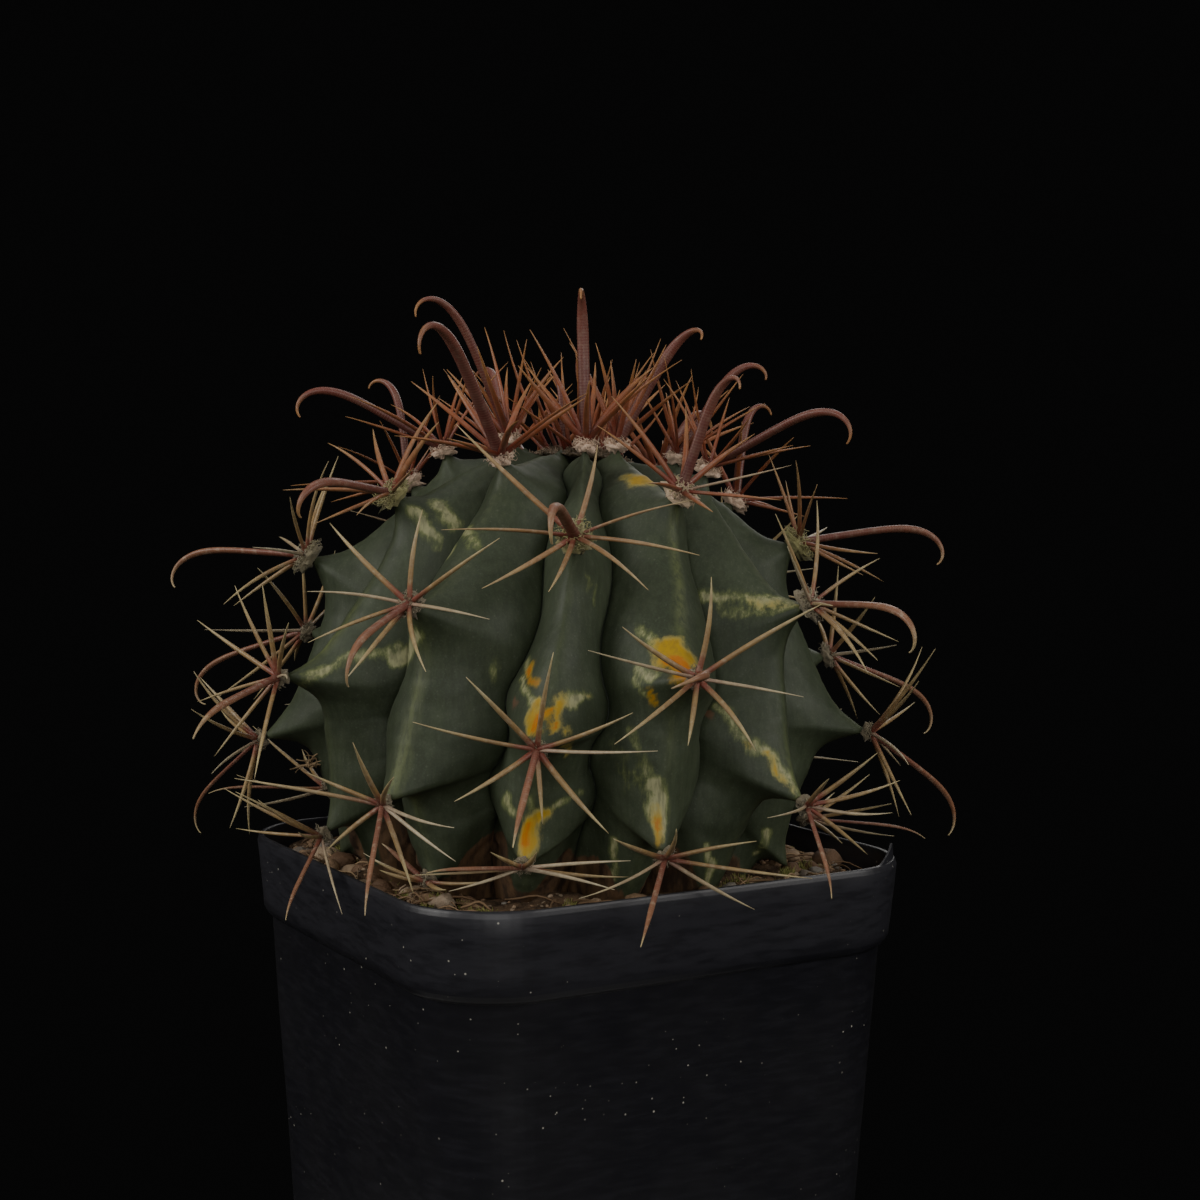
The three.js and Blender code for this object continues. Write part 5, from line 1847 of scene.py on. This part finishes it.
@dataclass(frozen=True)
class Soil:
    """The filling of the pot: earth, stones, grit, moss and dry fibres."""

    columns: int = 220
    rings: tuple[float, ...] = (1, 0.985, 0.96, 0.93, 0.9, 0.87, 0.84, 0.81, 0.78, 0.75, 0.72, 0.69,
                                0.66, 0.62, 0.58, 0.5, 0.35, 0.15)
    clear: float = 0.15
    depth: float = 60
    stem_reach: float = 36.5
    wall_distance: float = 46
    stones: int = 170
    grains: int = 1500
    stone_size: tuple[float, float] = (1.2, 3.1)
    grain_size: tuple[float, float] = (0.35, 0.95)
    fibres: int = 110
    tufts: int = 62
    curls: int = 16

    def edge(self, turn: Array, z: float) -> Array:
        """Finds how far the soil reaches, a hair inside the wall.

        Args:
            turn: angles round the pot.
            z: the height.

        Returns:
            A distance for each angle.
        """
        half = POT.wall_half(z) if z < POT.height - POT.band else POT.side / 2 - POT.band_step
        half -= POT.wall + self.clear
        return POT.reach(half, POT.corner_radius(half), np.cos(turn), np.sin(turn))

    def top(self, x: Array, y: Array) -> Array:
        """Finds the height of the earth.

        Args:
            x: first part of the places.
            y: second part of the places.

        Returns:
            A height for each place.
        """
        flat = np.stack([x, y, np.zeros_like(x)], axis=-1)
        lumps = Ripples(31, 16)(flat) * 0.8 + Ripples(32, 5)(flat) * 0.4 + Ripples(33, 2)(flat) * 0.16
        return POT.soil_level - 0.4 + lumps

    def spot(self, draw: Draw, inner: float, outer: float = 1.0) -> Array:
        """Draws a place on the earth between the stem and the wall.

        Args:
            draw: the draw of the place.
            inner: how near the plant's middle it may be, in millimetres.
            outer: how near the wall it may be, as a share of the way.

        Returns:
            The place.
        """
        turn = draw(0, tau)
        foot = np.array(STEM.foot)
        wall = self.edge(np.array([turn]), POT.soil_level)[0] * outer
        way = np.array([cos(turn), sin(turn)])
        reach = inner + (wall - inner) * sqrt(draw())
        x, y = foot * (1 - reach / wall) + way * reach
        return np.array([x, y, self.top(np.array([x]), np.array([y]))[0]])

    def earth(self) -> None:
        """Builds the earth as one closed body that fills the pot's shape."""
        turn = np.arange(self.columns) * tau / self.columns
        low = POT.soil_level - self.depth
        rings = []
        for z in (low, low + 0.5 * self.depth, POT.height - POT.band - 0.5, POT.height - POT.band + 0.5):
            reach = self.edge(turn, z)
            rings.append(np.stack([reach * np.cos(turn), reach * np.sin(turn), np.full_like(turn, z)], 1))
        for share in self.rings:
            reach = self.edge(turn, POT.soil_level) * share
            x, y = reach * np.cos(turn), reach * np.sin(turn)
            rings.append(np.stack([x, y, self.top(x, y)], 1))
        middle = np.zeros(1)
        ends = np.array([[0, 0, low], [0, 0, self.top(middle, middle)[0]]])
        bag = MeshBag()
        bag.add(*stacked(np.array(rings), ends))
        bag.piece("potting_earth", EarthFinish(), "soil", "soil")

    def pebbles(self) -> None:
        """Builds the stones and the grit."""
        draw = Draw(41)
        bag = MeshBag("tone")
        for facets, count, sizes, inner in ((2, self.stones, self.stone_size, self.stem_reach),
                                            (1, self.grains, self.grain_size, self.stem_reach - 3)):
            ball, faces = rounded(facets)
            for _ in range(count):
                size = draw(*sizes) * (1 if draw() < 0.7 else 0.7)
                half = np.array([size, size * draw(0.6, 0.95), size * draw(0.42, 0.7)])
                bumps = 1 + 0.2 * Ripples(int(draw() * 9999), 1.5, 5)(ball)
                turn, lean = draw(0, tau), draw(-0.4, 0.4)
                local = ball * half * bumps[:, None]
                local = local @ turn_about(1, lean) @ turn_about(2, -turn)
                spot = self.spot(draw, inner, 1 - (size + 0.6) / self.wall_distance)
                bag.add(spot + [0, 0, half[2] * draw(-0.15, 0.45)] + local, [faces], tone=draw())
        bag.piece("stones", StoneFinish(), "soil")

    def litter(self) -> None:
        """Builds the dry fibres and the moss."""
        draw = Draw(52)
        bag = MeshBag("tone", "green")
        for _ in range(self.fibres):
            spot = self.spot(draw, self.stem_reach, 0.95)
            turn, bend, length = draw(0, tau), draw(-0.9, 0.9), draw(4, 13)
            t = np.linspace(-0.5, 0.5, 8)
            heading = turn + bend * t
            path = spot + np.stack([length * t * np.cos(heading), length * t * np.sin(heading),
                                    0.9 + 0.9 * np.cos(pi * t) + 0.2 * np.sin(9 * t + turn)], 1)
            edge = self.edge(np.arctan2(path[:, 1], path[:, 0]), POT.soil_level) - 0.5
            if not np.all(np.hypot(path[:, 0], path[:, 1]) < edge):
                continue
            width = draw(0.12, 0.3) * (1 - 1.4 * t * t)
            bag.add(*tube(path, width, width * 0.6, np.array([0, 0, 1.0]), 4), tone=draw())
        for _ in range(self.tufts):
            spot = self.spot(draw, self.stem_reach - 1, 0.9)
            spread = draw(0.8, 2.4)
            for _ in range(int(draw(26, 60))):
                turn, away = draw(0, tau), spread * sqrt(draw())
                root = spot + [away * cos(turn), away * sin(turn), -0.2]
                lean = np.array([draw(-0.7, 0.7), draw(-0.7, 0.7), 1])
                t = np.linspace(0, 1, 4)
                path = root + unit(lean) * (draw(0.9, 2.3) * t)[:, None]
                width = draw(0.12, 0.24) * (1 - 0.75 * t)
                blade = tube(path, width, width * 0.5, np.array([1.0, 0.2, 0]), 3)
                bag.add(*blade, tone=draw() * 0.9, green=1)
        snag = STEM.placed(STEM.points(np.array([-3.0]), np.array([0.1]), np.array([-0.45]), 1.5))[0]
        for _ in range(self.curls):
            t = np.linspace(0, 1, 10)
            turn, turns, wide = draw(0, tau), draw(2, 6), draw(0.5, 1.3)
            way = unit(np.array([draw(-1, 1), draw(-1, 1), draw(-0.4, 0.9)]))
            path = snag + way * (draw(2, 4) * t)[:, None] + wide * np.stack(
                [np.cos(turn + turns * t), np.sin(turn + turns * t), 0.6 * np.sin(turns * t)], 1)
            width = draw(0.14, 0.3) * (1 - 0.6 * t)
            bag.add(*tube(path, width, width * 0.4, np.array([0.3, 0.2, 1.0]), 4), tone=1)
        bag.piece("moss_and_fibres", LitterFinish(), "soil")

    def build(self) -> None:
        """Builds the earth, the stones and the litter."""
        self.earth()
        self.pebbles()
        self.litter()


@dataclass(frozen=True)
class Pot:
    """The square nursery pot: one thin shell with a rim band, an ear and four drain holes."""

    corner_segments: int = 14
    soft_edge: float = 0.3
    bottom_bevel: tuple[float, float] = (1.2, 1.4)
    rim_bevel: tuple[float, float] = (0.3, 1.2)
    warp: float = 0.22
    drain_sides: int = 40

    def profile(self) -> list[tuple[float, float]]:
        """Lists the wall's profile, up the outside and down the inside.

        Returns:
            Half widths and heights.
        """
        rim, foot, high = POT.side / 2, POT.height - POT.band, POT.height
        base = POT.wall_half(0)
        return [
            (base, self.bottom_bevel[1]), (POT.half_top, foot - 0.4),
            (POT.half_top + POT.band_step / 2, foot), (rim - POT.band_taper, foot + 1.4),
            (rim, high - self.rim_bevel[1]), (rim - self.rim_bevel[0], high), (rim - POT.wall, high),
            (rim - POT.wall - 0.2, high - 2), (rim - POT.band_taper - POT.wall, foot + 2),
            (POT.half_top - POT.wall, foot - 0.6), (POT.wall_half(POT.floor) - POT.wall, POT.floor),
        ]

    def shell(self) -> bpy.types.Object:
        """Makes the shell: a block whose top face is drawn up the outside and down the inside.

        Returns:
            The object.
        """
        half = (POT.wall_half(0) - self.bottom_bevel[0]) * MM
        bpy.ops.object.select_all(action="DESELECT")
        bpy.ops.mesh.primitive_plane_add(size=2 * half)
        shell = bpy.context.object
        shell.name = "nursery_pot"
        bpy.ops.object.mode_set(mode="EDIT")
        bpy.ops.mesh.select_all(action="SELECT")
        bpy.ops.mesh.duplicate()
        bpy.ops.mesh.flip_normals()
        bpy.ops.mesh.select_all(action="INVERT")
        z = 0.0
        for wide, high in self.profile():
            bpy.ops.mesh.extrude_region_move(TRANSFORM_OT_translate={"value": (0, 0, high * MM - z)})
            z = high * MM
            scale = wide * MM / half
            half = wide * MM
            bpy.ops.transform.resize(value=(scale, scale, 1), center_override=(0, 0, z))
        bpy.ops.mesh.select_all(action="SELECT")
        bpy.ops.mesh.remove_doubles(threshold=0.00001)
        bpy.ops.object.mode_set(mode="OBJECT")
        return shell

    def rounded_corners(self, shell: bpy.types.Object) -> None:
        """Rounds the four upright corners by the same share of each ring's side.

        Args:
            shell: the pot.
        """
        mesh = shell.data
        bpy.ops.object.mode_set(mode="EDIT")
        bpy.ops.mesh.select_all(action="DESELECT")
        bpy.ops.mesh.select_mode(type="EDGE")
        bpy.ops.object.mode_set(mode="OBJECT")
        for edge in mesh.edges:
            a, b = (mesh.vertices[i].co for i in edge.vertices)
            edge.select = a.x * b.x > 0 and a.y * b.y > 0
        bpy.ops.object.mode_set(mode="EDIT")
        bpy.ops.mesh.bevel(offset_type="PERCENT", offset_pct=POT.corner, segments=self.corner_segments,
                           clamp_overlap=False)
        bpy.ops.object.mode_set(mode="OBJECT")

    def raised_ear(self, shell: bpy.types.Object) -> None:
        """Raises the rim at one corner, and warps the walls a little below it.

        Args:
            shell: the pot.
        """
        waves = Ripples(21, 55, 10)
        for vertex in shell.data.vertices:
            x, y, z = (c / MM for c in vertex.co)
            if z > POT.height - 0.01 and x > 0 > y:
                share = max(0.0, 1 - abs(x + y) / POT.ear_span)
                vertex.co.z += POT.ear_height * share * MM
            away = hypot(x, y)
            push = self.warp * float(waves(np.array([[x, y, z]]))[0]) * min(z / 25, 1) * MM
            vertex.co.x += push * x / max(away, 1)
            vertex.co.y += push * y / max(away, 1)

    def drained(self, shell: bpy.types.Object) -> None:
        """Cuts the four drain holes through the floor.

        Args:
            shell: the pot.
        """
        for corner in range(4):
            turn = radians(45 + 90 * corner)
            place = [POT.drain_offset * cos(turn) * MM, POT.drain_offset * sin(turn) * MM, 0]
            bpy.ops.object.select_all(action="DESELECT")
            bpy.ops.mesh.primitive_cylinder_add(vertices=self.drain_sides, radius=POT.drain_radius * MM,
                                                depth=4 * POT.floor * MM, location=place)
            drain = bpy.context.object
            self.apply(shell, "BOOLEAN", object=drain, operation="DIFFERENCE", solver="EXACT")
            bpy.data.objects.remove(drain)

    @staticmethod
    def apply(piece: bpy.types.Object, kind: str, **settings: object) -> None:
        """Adds a modifier and applies it.

        Args:
            piece: the object.
            kind: the modifier's type.
            settings: its settings.
        """
        bpy.ops.object.select_all(action="DESELECT")
        bpy.context.view_layer.objects.active = piece
        piece.select_set(True)
        modifier = piece.modifiers.new(kind.lower(), kind)
        for name, value in settings.items():
            setattr(modifier, name, value)
        bpy.ops.object.modifier_apply(modifier=modifier.name)

    def build(self) -> None:
        """Builds the pot."""
        shell = self.shell()
        self.rounded_corners(shell)
        self.apply(shell, "BEVEL", width=self.soft_edge * MM, segments=2, limit_method="ANGLE",
                   angle_limit=radians(28))
        self.apply(shell, "SUBSURF", subdivision_type="SIMPLE", levels=2, render_levels=2)
        self.raised_ear(shell)
        self.drained(shell)
        bpy.ops.object.select_all(action="DESELECT")
        shell.select_set(True)
        bpy.context.view_layer.objects.active = shell
        bpy.ops.object.shade_smooth_by_angle(angle=radians(32))
        dress(shell, PlasticFinish(), ("pot",))


@dataclass(frozen=True)
class Lamp:
    """One soft area light: where it hangs, how large and how strong it is, and its tint."""

    name: str
    azimuth: float
    elevation: float
    away: float
    size: float
    power: float
    tint: Colour = (1, 0.98, 0.95)


@dataclass(frozen=True)
class Studio:
    """Pale round stand, soft lamps and the camera of the photograph."""

    stand_radius: float = 80
    stand_depth: float = 3
    dark: float = 0.003
    lens: float = 56.82
    camera_place: tuple[float, float, float] = (-178.2, -317.5, 163.3)
    camera_turn: float = -30.3
    camera_pitch: float = -3.34
    camera_roll: float = 0.215
    aim: tuple[float, float, float] = (0, 0, 115)
    lamps: tuple[Lamp, ...] = (
        Lamp("lamp_left", -66, 28, 640, 420, 2.5, (1, 0.97, 0.93)),
        Lamp("lamp_front", 0, 24, 700, 480, 1.0),
        Lamp("lamp_right", 66, 27, 640, 420, 1.6, (1, 0.97, 0.93)),
        Lamp("lamp_low", 12, 3, 700, 420, 0.7, (1, 0.98, 0.96)),
        Lamp("lamp_top", 180, 82, 560, 420, 0.6),
        Lamp("lamp_back", 165, 30, 700, 420, 0.75),
    )

    def stand(self) -> None:
        """Adds the pale floor disc under the pot."""
        bpy.ops.object.select_all(action="DESELECT")
        bpy.ops.mesh.primitive_cylinder_add(
            vertices=128, radius=self.stand_radius * MM, depth=self.stand_depth * MM,
            location=(0, 0, -self.stand_depth / 2 * MM))
        disc = bpy.context.object
        disc.name = "floor"
        bpy.ops.object.transform_apply(location=True)
        Pot.apply(disc, "BEVEL", width=0.6 * MM, segments=3, limit_method="ANGLE")
        disc.data.materials.append(StandFinish().material())

    def light(self) -> None:
        """Hangs the lamps, turned with the camera, and darkens the room."""
        for lamp in self.lamps:
            turn, rise = radians(lamp.azimuth + self.camera_turn), radians(lamp.elevation)
            level = cos(rise)
            way = np.array([sin(turn) * level, -cos(turn) * level, sin(rise)])
            data = bpy.data.lights.new(lamp.name, "AREA")
            data.shape = "DISK"
            data.size = lamp.size * MM
            data.energy = lamp.power
            data.color = lamp.tint
            light = bpy.data.objects.new(lamp.name, data)
            light.location = (np.array(self.aim) + way * lamp.away) * MM
            light.rotation_euler = (pi / 2 - rise, 0, turn)
            bpy.context.scene.collection.objects.link(light)
        world = bpy.data.worlds.new("dark_room")
        world.use_nodes = True
        world.node_tree.nodes["Background"].inputs["Color"].default_value = (self.dark,) * 3 + (1,)
        bpy.context.scene.world = world

    def camera(self) -> None:
        """Sets the camera at the photograph's place and angle."""
        data = bpy.data.cameras.new("camera")
        data.lens = self.lens
        data.clip_start = 0.01
        camera = bpy.data.objects.new("camera", data)
        turn = Matrix.Rotation(radians(self.camera_turn), 4, "Z")
        pitch = Matrix.Rotation(radians(90 + self.camera_pitch), 4, "X")
        roll = Matrix.Rotation(radians(self.camera_roll), 4, "Z")
        camera.matrix_world = Matrix.Translation(Vector(self.camera_place) * MM) @ turn @ pitch @ roll
        bpy.context.scene.collection.objects.link(camera)
        bpy.context.scene.camera = camera

    def build(self) -> None:
        """Sets up the stand, the lamps and the camera."""
        self.stand()
        self.light()
        self.camera()


def main() -> None:
    """Builds the plant, its soil and its pot, and sets up the studio."""
    logging.basicConfig(level=logging.INFO, format="%(message)s")
    Group.add_specks()
    Group.add_mottle()
    thicket = Thicket()
    clusters = plan_clusters(thicket)
    young = plan_crown(thicket)
    Pot().build()
    Soil().build()
    Stem().build()
    Thorns().build(clusters)
    Crown().build(young)
    Studio().build()


if __name__ == "__main__":
    main()
